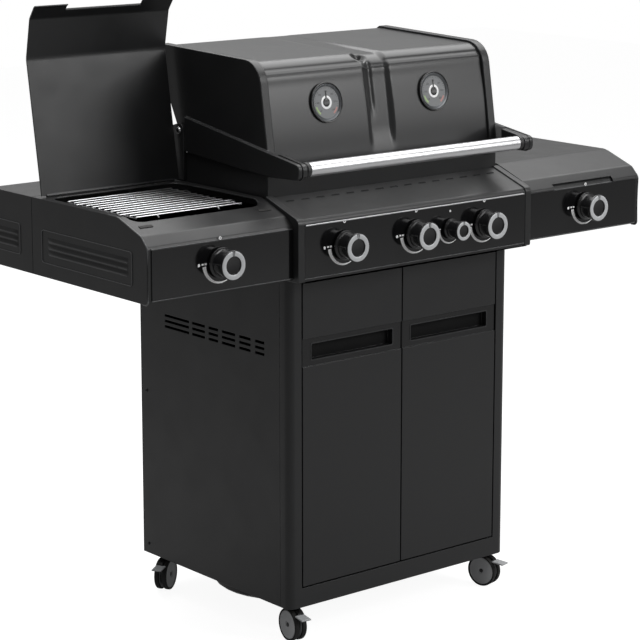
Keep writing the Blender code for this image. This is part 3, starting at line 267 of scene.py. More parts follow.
def plate(outline, seat, axes, thickness, edge=0.0003):
    """A flat plate: a star-shaped outline of (across, up) points lifted off seat along axes[2], its rim rounded by
    shrinking the top ring inwards by edge."""
    outline = np.asarray(outline, float)
    middle = outline.mean(0)
    reach = np.linalg.norm(outline - middle, axis=1, keepdims=True)
    inner = middle + (outline - middle) * np.clip(1 - edge / np.maximum(reach, 1e-9), 0, 1)
    rows = [(outline, 0.0), (outline, thickness - edge), (inner, thickness)]
    rings = np.stack([np.concatenate([ring, np.full((len(ring), 1), height)], 1) for ring, height in rows])
    return surface(rings @ axes + np.asarray(seat))


def band(inner, outer, seat, axes, thickness):
    """A flat frame between two matching closed lines of (across, up) points, raised off seat along axes[2]."""
    inner, outer = np.asarray(inner, float), np.asarray(outer, float)
    flat = np.stack([inner, outer, outer, inner], 1)
    height = np.broadcast_to(np.array([0.0, 0.0, thickness, thickness])[None, :, None], flat.shape[:2] + (1,))
    return surface(np.concatenate([flat, height], -1) @ axes + np.asarray(seat), looped=True)


def together(shapes):
    """One set of points and quads from several."""
    offsets = np.cumsum([0] + [len(points) for points, _ in shapes[:-1]])
    return (np.concatenate([points for points, _ in shapes]),
            np.concatenate([quads + offset for (_, quads), offset in zip(shapes, offsets)]))


def shade(mesh, angle):
    """Smooth faces, with hard edges where the surface turns by more than angle degrees."""
    mesh.shade_smooth()
    mesh.set_sharp_from_angle(angle=math.radians(angle))


def cleaned(mesh):
    """Merges doubled seam and pole points, drops what has no area and turns every face outwards."""
    shape = bmesh.new()
    shape.from_mesh(mesh)
    bmesh.ops.remove_doubles(shape, verts=shape.verts, dist=1e-6)
    bmesh.ops.dissolve_degenerate(shape, dist=1e-7, edges=shape.edges)
    bmesh.ops.recalc_face_normals(shape, faces=shape.faces)
    shape.to_mesh(mesh)
    shape.free()


def piece(name, shapes, finish, body, replaces=(), angle=40):
    """A finished object from surfaces: its mesh, finish, body and the frame nodes it stands for."""
    points, quads = together(shapes)
    mesh = bpy.data.meshes.new(name)
    mesh.vertices.add(len(points))
    mesh.vertices.foreach_set("co", points.astype(np.float32).ravel())
    mesh.loops.add(quads.size)
    mesh.loops.foreach_set("vertex_index", quads.astype(np.int32).ravel())
    mesh.polygons.add(len(quads))
    mesh.polygons.foreach_set("loop_start", np.arange(0, quads.size, 4, dtype=np.int32))
    mesh.update(calc_edges=True)
    cleaned(mesh)
    shade(mesh, angle)
    item = bpy.data.objects.new(name, mesh)
    bpy.context.scene.collection.objects.link(item)
    mesh.materials.append(finish)
    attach(item, body)
    if replaces:
        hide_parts(*replaces)
    return item


def softened(node, finish, edge_highlight_and_wear=None, width=None, segments=2):
    """A merged copy of a frame node with rounded edges, which stands for it.  The bevel's faces take the second
    finish, a lighter coat that is partly scuffed coating and partly painted highlight along the edges, and flat faces
    keep their own normals."""
    shape = bmesh.new()
    shape.from_mesh(NODES[node].data)
    bmesh.ops.remove_doubles(shape, verts=shape.verts, dist=2e-6)
    bmesh.ops.dissolve_limit(shape, angle_limit=math.radians(1.0), verts=shape.verts, edges=shape.edges)
    mesh = bpy.data.meshes.new(f"{node}_soft")
    shape.to_mesh(mesh)
    shape.free()
    mesh.materials.clear()
    mesh.materials.append(finish)
    mesh.materials.append(edge_highlight_and_wear or finish)
    item = bpy.data.objects.new(f"{node}_soft", mesh)
    bpy.context.scene.collection.objects.link(item)
    bevel = item.modifiers.new("Soft edges", "BEVEL")
    bevel.width = bpy.context.scene.grill_sizes.edge if width is None else width
    bevel.segments = segments
    bevel.limit_method = "ANGLE"
    bevel.angle_limit = math.radians(35)
    bevel.use_clamp_overlap = False
    bevel.material = 1
    rounded = bpy.data.meshes.new_from_object(item.evaluated_get(bpy.context.evaluated_depsgraph_get()))
    item.modifiers.clear()
    item.data = rounded
    bpy.data.meshes.remove(mesh)
    rounded.name = f"{node}_soft"
    shade(rounded, 50)
    item.modifiers.new("Face normals", "WEIGHTED_NORMAL").keep_sharp = True
    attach(item, BODY_OF[node])
    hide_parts(node)
    return item


# ---- Shared shader groups --------------------------------------------------------------------
def group(name, inputs, outputs):
    """A new shader node group with typed sockets; returns it with its nodes and ends."""
    tree = bpy.data.node_groups.new(name, "ShaderNodeTree")
    for label, kind, default in inputs:
        socket = tree.interface.new_socket(name=label, in_out="INPUT", socket_type=kind)
        if default is not None:
            socket.default_value = default
    for label, kind in outputs:
        tree.interface.new_socket(name=label, in_out="OUTPUT", socket_type=kind)
    return tree, tree.nodes.new("NodeGroupInput"), tree.nodes.new("NodeGroupOutput")


def node(tree, kind, links=None, **values):
    """A shader node with settings as keywords and inputs as a dict of socket name or number to value or socket."""
    made = tree.nodes.new(kind)
    for key, value in values.items():
        setattr(made, key, value)
    for socket, value in (links or {}).items():
        if isinstance(value, bpy.types.NodeSocket):
            tree.links.new(value, made.inputs[socket])
        else:
            made.inputs[socket].default_value = value
    return made


FLOAT, COLOUR, VECTOR = "NodeSocketFloat", "NodeSocketColor", "NodeSocketVector"


def grain_group():
    """Grain: fine speckle plus slow mottling, from noise at two scales on object coordinates."""
    tree, given, out = group("Coating Grain", [("Scale", FLOAT, 900.0), ("Mottle Scale", FLOAT, 14.0)],
                             [("Height", FLOAT), ("Mottle", FLOAT)])
    place = node(tree, "ShaderNodeTexCoord").outputs["Object"]
    fine = node(tree, "ShaderNodeTexNoise", {"Vector": place, "Scale": given.outputs["Scale"], "Detail": 2.0,
                                             "Roughness": 0.55})
    slow = node(tree, "ShaderNodeTexNoise", {"Vector": place, "Scale": given.outputs["Mottle Scale"],
                                             "Detail": 5.0, "Roughness": 0.6})
    tree.links.new(fine.outputs["Fac"], out.inputs["Height"])
    tree.links.new(slow.outputs["Fac"], out.inputs["Mottle"])
    return tree


def brush_group():
    """Brushing: noise stretched along one axis by scaling the other two far more."""
    tree, given, out = group("Brushed Lines", [("Stretch", VECTOR, (8.0, 2600.0, 2600.0))],
                             [("Height", FLOAT), ("Streak", FLOAT)])
    place = node(tree, "ShaderNodeTexCoord").outputs["Object"]
    stretched = node(tree, "ShaderNodeVectorMath", {0: place, 1: given.outputs["Stretch"]}, operation="MULTIPLY")
    lines = node(tree, "ShaderNodeTexNoise", {"Vector": stretched.outputs[0], "Scale": 1.0, "Detail": 3.0,
                                              "Roughness": 0.7})
    streak = node(tree, "ShaderNodeMapRange", {"Value": lines.outputs["Fac"], "From Min": 0.35, "From Max": 0.65,
                                               "To Min": 0.0, "To Max": 1.0})
    tree.links.new(lines.outputs["Fac"], out.inputs["Height"])
    tree.links.new(streak.outputs["Result"], out.inputs["Streak"])
    return tree


def dust_group():
    """Dust: a thin pale film where a surface looks up, broken by noise; mixed over the colour below."""
    tree, given, out = group("Settled Dust", [("Colour", COLOUR, (0.02, 0.02, 0.02, 1)),
                                              ("Dust", COLOUR, (0.20, 0.19, 0.18, 1)), ("Amount", FLOAT, 0.1)],
                             [("Colour", COLOUR), ("Mask", FLOAT)])
    coords = node(tree, "ShaderNodeTexCoord")
    upward = node(tree, "ShaderNodeSeparateXYZ", {0: coords.outputs["Normal"]})
    facing = node(tree, "ShaderNodeMapRange", {"Value": upward.outputs["Z"], "From Min": 0.35, "From Max": 1.0,
                                               "To Min": 0.0, "To Max": 1.0})
    patches = node(tree, "ShaderNodeTexNoise", {"Vector": coords.outputs["Object"], "Scale": 26.0, "Detail": 6.0,
                                                "Roughness": 0.65})
    spread = node(tree, "ShaderNodeMapRange", {"Value": patches.outputs["Fac"], "From Min": 0.30, "From Max": 0.75,
                                               "To Min": 0.35, "To Max": 1.0})
    both = node(tree, "ShaderNodeMath", {0: facing.outputs["Result"], 1: spread.outputs["Result"]},
                operation="MULTIPLY")
    mask = node(tree, "ShaderNodeMath", {0: both.outputs[0], 1: given.outputs["Amount"]}, operation="MULTIPLY")
    mixed = node(tree, "ShaderNodeMix", {"Factor": mask.outputs[0], 6: given.outputs["Colour"],
                                         7: given.outputs["Dust"]}, data_type="RGBA")
    tree.links.new(mixed.outputs[2], out.inputs["Colour"])
    tree.links.new(mask.outputs[0], out.inputs["Mask"])
    return tree


def wear_group():
    """Edge tint: mixes a base colour with a lighter one by patchy noise, so the lighter edges come and go; the
    lighter colour is partly scuffed coat and partly painted highlight.
    """
    tree, given, out = group("Rubbed Edge", [("Colour", COLOUR, (0.02, 0.02, 0.02, 1)),
                                             ("Rubbed And Highlit", COLOUR, (0.05, 0.05, 0.05, 1)), ("Amount", FLOAT, 0.8),
                                             ("Scale", FLOAT, 30.0)], [("Colour", COLOUR), ("Mask", FLOAT)])
    place = node(tree, "ShaderNodeTexCoord").outputs["Object"]
    patches = node(tree, "ShaderNodeTexNoise", {"Vector": place, "Scale": given.outputs["Scale"], "Detail": 4.0,
                                                "Roughness": 0.6})
    spread = node(tree, "ShaderNodeMapRange", {"Value": patches.outputs["Fac"], "From Min": 0.30, "From Max": 0.62,
                                               "To Min": 0.25, "To Max": 1.0})
    mask = node(tree, "ShaderNodeMath", {0: spread.outputs["Result"], 1: given.outputs["Amount"]},
                operation="MULTIPLY")
    mixed = node(tree, "ShaderNodeMix", {"Factor": mask.outputs[0], 6: given.outputs["Colour"],
                                         7: given.outputs["Rubbed And Highlit"]}, data_type="RGBA")
    tree.links.new(mixed.outputs[2], out.inputs["Colour"])
    tree.links.new(mask.outputs[0], out.inputs["Mask"])
    return tree


GROUPS = {}
FINISHES = {}


def shader(name, settings):
    """A new material with one Principled shader; settings go straight on its sockets."""
    material = bpy.data.materials.new(name)
    material.use_nodes = True
    tree = material.node_tree
    principled = tree.nodes["Principled BSDF"]
    for socket, value in settings.items():
        principled.inputs[socket].default_value = value
    return material, tree, principled


def coated(name, colour, roughness, spread, bump, scale, dust=0.0, highlight_and_rubbed=None, **settings):
    """Painted or moulded finish: speckle bump, mottled roughness, an optional lighter edge colour that is partly
    scuffed coat and partly painted highlight, and settled dust.
    """
    material, tree, principled = shader(name, settings)
    grain = node(tree, "ShaderNodeGroup", node_tree=GROUPS["grain"])
    grain.inputs["Scale"].default_value = scale
    rough = node(tree, "ShaderNodeMapRange", {"Value": grain.outputs["Mottle"], "From Min": 0.3, "From Max": 0.7,
                                              "To Min": roughness - spread, "To Max": roughness + spread})
    top = node(tree, "ShaderNodeGroup", node_tree=GROUPS["dust"])
    top.inputs["Amount"].default_value = dust
    shades = node(tree, "ShaderNodeMix", {"Factor": grain.outputs["Mottle"], 6: (*colour, 1),
                                          7: (*[channel * 1.18 + 0.0004 for channel in colour], 1)}, data_type="RGBA")
    base = shades.outputs[2]
    # Edge colour: partly scuffed coat, partly painted highlight.
    if highlight_and_rubbed is not None:
        wear = node(tree, "ShaderNodeGroup", {"Colour": base, "Rubbed And Highlit": (*highlight_and_rubbed, 1)}, node_tree=GROUPS["wear"])
        base = wear.outputs["Colour"]
    tree.links.new(base, top.inputs["Colour"])
    tree.links.new(top.outputs["Colour"], principled.inputs["Base Color"])
    roughened = node(tree, "ShaderNodeMix", {"Factor": top.outputs["Mask"], 2: rough.outputs["Result"], 3: 0.75})
    tree.links.new(roughened.outputs[0], principled.inputs["Roughness"])
    raised = node(tree, "ShaderNodeBump", {"Strength": bump, "Distance": 0.0004, "Height": grain.outputs["Height"]})
    tree.links.new(raised.outputs["Normal"], principled.inputs["Normal"])
    FINISHES[name] = material


def brushed(name, colour, roughness, stretch, bump=0.10, **settings):
    """Brushed metal: streaks in roughness, tint and a fine bump."""
    material, tree, principled = shader(name, {"Metallic": 1.0, **settings})
    lines = node(tree, "ShaderNodeGroup", node_tree=GROUPS["brush"])
    lines.inputs["Stretch"].default_value = stretch
    grain = node(tree, "ShaderNodeGroup", node_tree=GROUPS["grain"])
    grain.inputs["Mottle Scale"].default_value = 30.0
    shades = node(tree, "ShaderNodeMix", {"Factor": lines.outputs["Streak"],
                                          6: (*[channel * 0.93 for channel in colour], 1), 7: (*colour, 1)},
                  data_type="RGBA")
    tree.links.new(shades.outputs[2], principled.inputs["Base Color"])
    rough = node(tree, "ShaderNodeMapRange", {"Value": lines.outputs["Streak"], "To Min": roughness,
                                              "To Max": roughness + 0.06})
    smudge = node(tree, "ShaderNodeMapRange", {"Value": grain.outputs["Mottle"], "From Min": 0.45, "From Max": 0.8,
                                               "To Min": 0.0, "To Max": 0.12})
    total = node(tree, "ShaderNodeMath", {0: rough.outputs["Result"], 1: smudge.outputs["Result"]}, operation="ADD")
    tree.links.new(total.outputs[0], principled.inputs["Roughness"])
    raised = node(tree, "ShaderNodeBump", {"Strength": bump, "Distance": 0.0002, "Height": lines.outputs["Height"]})
    tree.links.new(raised.outputs["Normal"], principled.inputs["Normal"])
    FINISHES[name] = material


class GRILL_OT_finishes(bpy.types.Operator):
    """Build the shader groups and every finish"""
    bl_idname = "grill.finishes"
    bl_label = "Finishes"

    def execute(self, context):
        tints = context.scene.grill_colours
        GROUPS.update(grain=grain_group(), brush=brush_group(), dust=dust_group(), wear=wear_group())
        satin = {"Specular IOR Level": 0.42}
        coated("powder_black", tints.powder, 0.37, 0.05, 0.10, 900.0, dust=0.02, **satin)
        # Lighter coat on bevels and lips: partly scuffed coat, partly painted highlight.
        coated("powder_edge_highlight_and_wear", tints.powder, 0.30, 0.05, 0.08, 900.0, highlight_and_rubbed=tints.edge_highlight_and_wear, **satin)
        coated("lid_enamel", tints.powder, 0.29, 0.01, 0.012, 240.0, dust=0.004, **{"Specular IOR Level": 0.55})
        coated("gloss_enamel", tints.enamel, 0.11, 0.03, 0.02, 260.0, **{"Specular IOR Level": 0.5})
        # Painted shade: flat black laid inside slots, vents, screw crosses, bolt sockets and seams where only shade
        # would be.
        coated("painted_shade_recess", tints.painted_shade, 0.72, 0.05, 0.1, 900.0, **{"Specular IOR Level": 0.2})
        coated("cast_iron", tints.iron, 0.58, 0.08, 0.75, 520.0, dust=0.06, **{"Specular IOR Level": 0.4})
        coated("knob_gloss", tints.plastic, 0.17, 0.04, 0.03, 500.0, **{"Specular IOR Level": 0.5})
        coated("black_plastic", tints.plastic, 0.46, 0.05, 0.22, 1100.0, **{"Specular IOR Level": 0.45})
        coated("ring_grey", tints.ring, 0.33, 0.05, 0.08, 800.0, Metallic=0.25)
        coated("dial_face", tints.dial, 0.42, 0.03, 0.03, 700.0, **{"Specular IOR Level": 0.35})
        coated("gauge_ring", tints.gauge, 0.28, 0.04, 0.05, 700.0, Metallic=0.7)
        coated("print_white", tints.print_white, 0.42, 0.04, 0.05, 900.0)
        coated("print_green", tints.print_green, 0.42, 0.04, 0.05, 900.0)
        coated("print_red", tints.print_red, 0.42, 0.04, 0.05, 900.0)
        coated("rubber", tints.rubber, 0.66, 0.06, 0.35, 700.0, dust=0.12, **{"Specular IOR Level": 0.3})
        # Painted highlight: light grey for the lines, lips and beads that stand in for highlights along edges and
        # louvers.
        coated("painted_highlight_line", (0.105, 0.107, 0.110), 0.30, 0.04, 0.05, 800.0)
        coated("band_black", tints.enamel, 0.30, 0.04, 0.06, 800.0, **{"Specular IOR Level": 0.4})
        coated("tab_grey", (0.42, 0.43, 0.44), 0.42, 0.05, 0.12, 900.0, dust=0.04)
        coated("hub_grey", tints.hub, 0.40, 0.05, 0.15, 900.0, dust=0.05)
        coated("aluminium", tints.aluminium, 0.42, 0.06, 0.4, 620.0, Metallic=1.0)
        brushed("steel_along", tints.steel, 0.27, (3.0, 700.0, 700.0), 0.006)
        brushed("steel_around", tints.steel, 0.22, (2200.0, 60.0, 60.0))
        brushed("steel_pressed", [channel * 0.82 for channel in tints.steel], 0.30, (1500.0, 9.0, 1500.0))
        return {"FINISHED"}


# ---- Body ------------------------------------------------------------------------------------
SHEET_NODES = ("base_tray", "left_side_panel", "right_side_panel", "back_panel", "front_frame", "control_console",
               "left_shelf", "right_shelf", "firebox", "left_lid_end", "right_lid_end", "left_burner_lid",
               "right_burner_lid", "left_door", "right_door")
BROAD_EDGES = {"left_lid_end": 0.0022, "right_lid_end": 0.0022, "left_shelf": 0.0014, "right_shelf": 0.0014,
               "control_console": 0.0013}


def cross_head(seat, out, radius):
    """Pan-head screw: a domed surface of revolution."""
    dome = [(radius, 0), (radius, 0.0006), (radius * 0.92, 0.0014), (radius * 0.62, 0.0023), (0, 0.0027)]
    return turned(dome, seat, out, 20)


def cross_slot(seat, out, radius):
    """The cross on a screw's crown as painted shade: two flat black crossed bars, standing just clear of it."""
    axes = frame_of(out)
    bar = box_section(radius * 1.05, radius * 0.26, radius * 0.05, 2)
    turned_bar = bar[:, ::-1] * np.array([1.0, -1.0])
    return [plate(shape, np.asarray(seat) + axes[2] * 0.0022, axes, 0.0007, 0.0001) for shape in (bar, turned_bar)]


def screws(name, places, radius):
    """Screw heads with crosses of painted shade at (seat, out) places on the cart."""
    piece(f"{name}_screws", [cross_head(seat, out, radius) for seat, out in places],
          FINISHES["black_plastic"], "cart")
    piece(f"{name}_screw_slot_shade", [part for seat, out in places for part in cross_slot(seat, out, radius)],
          FINISHES["painted_shade_recess"], "cart")


class GRILL_OT_body(bpy.types.Operator):
    """Round off the sheet metal and castings and give them their coating, with a lighter coat on the sheet's bevels
    that is partly scuffed and partly painted highlight
    """
    bl_idname = "grill.body"
    bl_label = "Body"

    def execute(self, context):
        for name in SHEET_NODES:
            softened(name, FINISHES["powder_black"], FINISHES["powder_edge_highlight_and_wear"], BROAD_EDGES.get(name))
        for name in ("console_fascia", "left_shelf_fascia", "right_shelf_fascia"):
            softened(name, FINISHES["gloss_enamel"], FINISHES["powder_edge_highlight_and_wear"], 0.0006)
        for name in ("left_cooking_grate", "right_cooking_grate"):
            softened(name, FINISHES["cast_iron"], None, 0.0014)
        for name in ("warming_rack", "grease_tray"):
            softened(name, FINISHES["steel_pressed"], None, 0.0006)
        softened("gas_manifold", FINISHES["aluminium"], None, 0.0008)
        for name in ("left_burner", "middle_burner", "right_burner"):
            softened(name, FINISHES["steel_pressed"], None, 0.0010)
        for name in NODES:
            if name.endswith("_stem"):
                NODES[name].data.materials.clear()
                NODES[name].data.materials.append(FINISHES["steel_around"])
        return {"FINISHED"}


class GRILL_OT_screws(bpy.types.Operator):
    """Add the screws on the back and the sides"""
    bl_idname = "grill.screws"
    bl_label = "Screws"

    def execute(self, context):
        radius = context.scene.grill_sizes.screw
        back_low, back_high = low("back_panel"), high("back_panel")
        bottom, top = low("left_side_panel")[2], high("front_frame")[2]
        columns = (back_low[0] + 0.014, -0.10, 0.10, back_high[0] - 0.014)
        rows = (back_low[2] + 0.016, back_low[2] + 0.30, top - 0.016)
        places = [((x, back_high[1], z), (0, 1, 0)) for z in rows for x in columns
                  if z != rows[1] or x in (columns[0], columns[-1])]
        screws("back", places, radius)
        x, y = high("right_side_panel")[0], back_high[1] - 0.020
        places = [((sign * x, y, z), (sign, 0, 0)) for sign in SIDES.values()
                  for z in (bottom + 0.022, 0.44, top - 0.03)]
        screws("side", places, radius * 0.8)
        return {"FINISHED"}


# ---- Main lid --------------------------------------------------------------------------------
FRONT_Y = float(low("front_frame")[1])
WORK_Z = float(high("left_shelf")[2])
SKIN_INSET = 0.0086        # depth of the skin below the lid's rim
SKIN_SHEET = 0.002         # thickness of the skin
CHANNEL_X = -0.0025        # middle of the lid's pressed channel
CORNER_RUN = 0.230         # length along the rim to the lid's upper corner
FRONT_RUN = 0.196          # length along the rim of the lid's front face


def lid_line(spacing, extra):
    """Rim of the lid in Y, Z with its inward normals, at even steps and at the extra lengths along it."""
    rim = filleted([(FRONT_Y + 0.046, WORK_Z + 0.043), (FRONT_Y + 0.081, WORK_Z + 0.264, 0.052),
                    (FRONT_Y + 0.437, WORK_Z + 0.276, 0.020), (FRONT_Y + 0.352, WORK_Z + 0.113)], 40)
    length = np.concatenate([[0], np.cumsum(np.linalg.norm(np.diff(rim, axis=0), axis=1))])
    along = np.unique(np.concatenate([np.arange(0, length[-1], spacing), extra, length[-1:]]))
    line = np.stack([np.interp(along, length, rim[:, axis]) for axis in (0, 1)], -1)
    ahead = np.gradient(line, along, axis=0)
    ahead /= np.linalg.norm(ahead, axis=1, keepdims=True)
    return along, line, np.stack([ahead[:, 1], -ahead[:, 0]], -1)


def skin_depth(x, along, sizes):
    """How far the lid's skin is pressed in at (x, length along the rim): a channel between two sloping walls that
    dies out at both ends, a shallow groove beside its left wall, an oval pocket where it meets the corner and two
    bell-shaped creases under the corner, less the front's sine-shaped bulge and the top's raised crown."""
    left, right = CHANNEL_X - sizes.channel_width / 2, CHANNEL_X + sizes.channel_width / 2
    across = smooth_step((x - left) / sizes.channel_wall) * smooth_step((right - x) / sizes.channel_wall)
    run = smooth_step((along - 0.018) / 0.055) * (1 - 0.9 * smooth_step((along - 0.27) / 0.24))
    channel = sizes.channel_depth * across * run
    groove = 0.0028 * np.exp(-((x - left - 0.024) / 0.0062) ** 2) \
        * smooth_step((along - 0.08) / 0.05) * (1 - smooth_step((along - 0.205) / 0.015))
    away = np.hypot((x - left - 0.010) / 0.0150, (along - CORNER_RUN) / 0.0140)
    pocket = 0.0100 * smooth_step(1.5 - away)
    creases = sizes.crease * (1.2 * np.exp(-((along - 0.2105) / 0.0060) ** 2)
                              - 0.8 * np.exp(-((along - 0.1975) / 0.0034) ** 2))
    bulge = sizes.bulge * np.sin(math.pi * np.clip(along / FRONT_RUN, 0, 1))
    crown = 0.0038 * smooth_step((along - 0.170) / 0.045)
    return channel + pocket + groove + creases * (1 - across * 0.85) - bulge * (1 - across * 0.5) - crown


class GRILL_OT_lid(bpy.types.Operator):
    """Build the lid's pressed skin, its handle, the hinge brackets' wings and the hinge bolts"""
    bl_idname = "grill.lid"
    bl_label = "Lid"

    def execute(self, context):
        sizes = context.scene.grill_sizes
        half = float(high("lid_skin")[0])
        x = np.unique(np.concatenate([np.linspace(-half, half, 33), np.linspace(-0.085, 0.060, 98)]))
        round_the_corner = np.arange(0.176, 0.262, 0.0009)
        along, line, inward = lid_line(0.0052, round_the_corner)
        depth = skin_depth(x[None], along[:, None], sizes)[..., None]

        def sheet(inset):
            place = line[:, None] + inward[:, None] * (inset + depth)
            return np.concatenate([np.broadcast_to(x[None, :, None], place.shape[:2] + (1,)), place], -1)
        piece("lid_skin_pressed", [shell(sheet(SKIN_INSET), sheet(SKIN_INSET + SKIN_SHEET))],
              FINISHES["lid_enamel"], "main_lid", ["lid_skin"], angle=50)

        start, end = low("lid_handle"), high("lid_handle")
        middle, radius = (start + end) / 2, float(end[2] - start[2]) / 2
        reach, collar = float(end[0]), 0.011
        tube = [(0, collar - 0.001), (radius - 0.001, collar - 0.001), (radius, collar), (radius, 2 * reach - collar),
                (radius - 0.001, 2 * reach - collar + 0.001), (0, 2 * reach - collar + 0.001)]
        seat = (-reach, middle[1], middle[2])
        piece("handle_tube", [turned(tube, seat, (1, 0, 0), 64)], FINISHES["steel_along"], "main_lid", ["lid_handle"])
        cap = filleted([(0, 0), (radius - 0.0006, 0, 0.0015), (radius + 0.0009, 0.002, 0.001),
                        (radius + 0.0009, collar - 0.001, 0.0008), (radius - 0.0004, collar - 0.0004, 0.0004),
                        (0, collar - 0.0004)], 4)
        piece("handle_collars", [turned(cap, (-sign * reach, middle[1], middle[2]), (sign, 0, 0), 48)
                                 for sign in (1, -1)], FINISHES["black_plastic"], "main_lid")

        pivot = JOINTS["main_lid"]["pos_m"]
        bolt = filleted([(0.0075, 0), (0.0075, 0.0012, 0.0006), (0.0058, 0.0034, 0.0012), (0, 0.0040)], 4)
        bracket_x = float(high("firebox")[0])
        places = [((sign * bracket_x, pivot[1], pivot[2]), (sign, 0, 0)) for sign in (-1, 1)]
        back = filleted([(pivot[1] + 0.012, WORK_Z + 0.002), (pivot[1] + 0.046, WORK_Z + 0.002, 0.004),
                         (pivot[1] + 0.040, pivot[2] + 0.004, 0.012), (pivot[1] + 0.012, pivot[2] + 0.012, 0.002)], 5)
        axes = np.array([(0, 1, 0), (0, 0, 1), (1, 0, 0)], float)
        # Bracket wings in the lighter edge coat: partly scuffed coat, partly painted highlight.
        wings = [plate(back, (sign * (bracket_x - 0.0042) - 0.0010, 0, 0), axes, 0.0020, 0.0005) for sign in (-1, 1)]
        piece("hinge_bracket_wings", wings, FINISHES["powder_edge_highlight_and_wear"], "cart")
        piece("hinge_bolts", [turned(bolt, seat, out, 32) for seat, out in places], FINISHES["steel_around"], "cart")
        # Flat black discs in the bolts' sockets: painted shade.
        piece("hinge_bolt_socket_shade", [plate(round_section(0.0026, 6), np.array(seat) + np.array(out) * 0.0037,
                                           frame_of(out), 0.0006, 0.0001) for seat, out in places],
              FINISHES["painted_shade_recess"], "cart")
        return {"FINISHED"}


# ---- Thermometers ----------------------------------------------------------------------------
NEEDLE_SEAT = 0.0053       # height of the needle's seat above the thermometer's back
DIAL_TOP = 0.0057          # height of the dial's face
FIRST_MARK = 225           # angle of the lowest mark, in degrees from across towards up
TICKS, TICK_STEP = 31, 9   # number of ticks and the angle between them
NUMBERS = 7                # one at every fifth tick


def numeral(text, height, place, axes):
    """Points of a number centred on place, and its triangles, each written as a quad that repeats its last point."""
    curve = bpy.data.curves.new("numeral", "FONT")
    curve.body = text
    curve.size = height
    curve.align_x, curve.align_y = "CENTER", "CENTER"
    curve.extrude = 0.00008
    curve.resolution_u = 2
    maker = bpy.data.objects.new("numeral", curve)
    bpy.context.scene.collection.objects.link(maker)
    mesh = bpy.data.meshes.new_from_object(maker.evaluated_get(bpy.context.evaluated_depsgraph_get()))
    mesh.calc_loop_triangles()
    points = np.empty(len(mesh.vertices) * 3)
    mesh.vertices.foreach_get("co", points)
    faces = np.empty(len(mesh.loop_triangles) * 3, np.int32)
    mesh.loop_triangles.foreach_get("vertices", faces)
    bpy.data.objects.remove(maker)
    bpy.data.curves.remove(curve)
    bpy.data.meshes.remove(mesh)
    faces = faces.reshape(-1, 3)
    return points.reshape(-1, 3) @ axes + place, np.concatenate([faces, faces[:, 2:]], 1)


class GRILL_OT_gauges(bpy.types.Operator):
    """Build both lid thermometers and their needles"""
    bl_idname = "grill.gauges"
    bl_label = "Thermometers"

    def execute(self, context):
        for side in SIDES:
            needle = JOINTS[f"{side}_needle"]
            out = np.array(needle["axis"], float)
            axes = frame_of(out)
            seat = np.array(needle["pos_m"], float) - axes[2] * NEEDLE_SEAT
            name, body = f"{side}_gauge", "main_lid"
            bezel = filleted([(0, 0), (0.0400, 0, 0.0008), (0.0410, 0.0012, 0.0006), (0.0410, 0.0078, 0.0010),
                              (0.0402, 0.0090, 0.0008), (0.0384, 0.0088, 0.0006), (0.0380, 0.0052), (0, 0.0052)], 4)
            piece(f"{name}_bezel", [turned(bezel, seat, out, 96)], FINISHES["knob_gloss"], body,
                  [f"{side}_thermometer"])
            ring = filleted([(0.0379, 0.0053), (0.0379, 0.0076, 0.0005), (0.0368, 0.0080, 0.0006),
                             (0.0326, 0.0064, 0.0005), (0.0318, 0.0053)], 3)
            piece(f"{name}_ring", [turned(ring, seat, out, 96, ring=True)], FINISHES["gauge_ring"], body)
            disc = [(0, NEEDLE_SEAT), (0.0325, NEEDLE_SEAT), (0.0325, DIAL_TOP), (0, DIAL_TOP)]
            piece(f"{name}_dial", [turned(disc, seat, out, 96)], FINISHES["dial_face"], body)
            print_seat = seat + axes[2] * DIAL_TOP
            ticks = []
            for number in range(TICKS):
                length = 0.0034 if number % 5 == 0 else 0.0019
                angle = FIRST_MARK - number * TICK_STEP
                tick = block_section(0.0304 - length, 0.0304, 0, 0.00012, 0.00003)
                ticks.append(arc(tick, angle - 0.5, angle + 0.5, print_seat, axes, 3))
            numbers = []
            for count in range(NUMBERS):
                angle = math.radians(FIRST_MARK - count * 5 * TICK_STEP)
                ray = axes[0] * math.cos(angle) + axes[1] * math.sin(angle)
                spot = print_seat + ray * 0.0222 + axes[2] * 0.0001
                numbers.append(numeral(str(50 * (count + 1)), 0.0052, spot, axes))
            piece(f"{name}_marks", ticks + numbers, FINISHES["knob_gloss"], body, angle=20)
            loop = block_section(0.0088, 0.0136, 0, 0.00018, 0.00005)
            piece(f"{name}_ring_print", [arc(loop, 97, 443, print_seat, axes, 72)], FINISHES["print_white"], body)
            patch = block_section(0.0262, 0.0300, 0, 0.00016, 0.00005)
            for word, start, end in (("green", 196, 232), ("red", 306, 336)):
                piece(f"{name}_{word}_mark", [arc(patch, start, end, print_seat + axes[2] * 0.00014, axes, 16)],
                      FINISHES[f"print_{word}"], body)
            hub = filleted([(0, 0.0060), (0.0082, 0.0060), (0.0082, 0.0068, 0.0004), (0.0074, 0.0073, 0.0004),
                            (0, 0.0075)], 3)
            blade = np.array([(-0.0021, 0.0), (0.0021, 0.0), (0.0006, 0.0235), (0.0, 0.0245), (-0.0006, 0.0235)])
            piece(f"{side}_pointer", [turned(hub, seat, out, 48), plate(blade, seat + axes[2] * 0.0062, axes, 0.0007,
                                                                       0.0002)],
                  FINISHES["knob_gloss"], f"{side}_needle", [f"{side}_needle"])
        return {"FINISHED"}


# ---- Knobs -----------------------------------------------------------------------------------
KNOB_RADIUS = 0.029
SMALL_SCALE = 0.70                      # size of the small knob against the others
SMALL_ARC = 0.78                        # radius of its printed arc against the others'
FACE_LOW, FACE_HIGH = 0.0413, 0.0424    # heights of the bright face ring above the fascia
PRINT = 0.00025                         # thickness of a printed mark


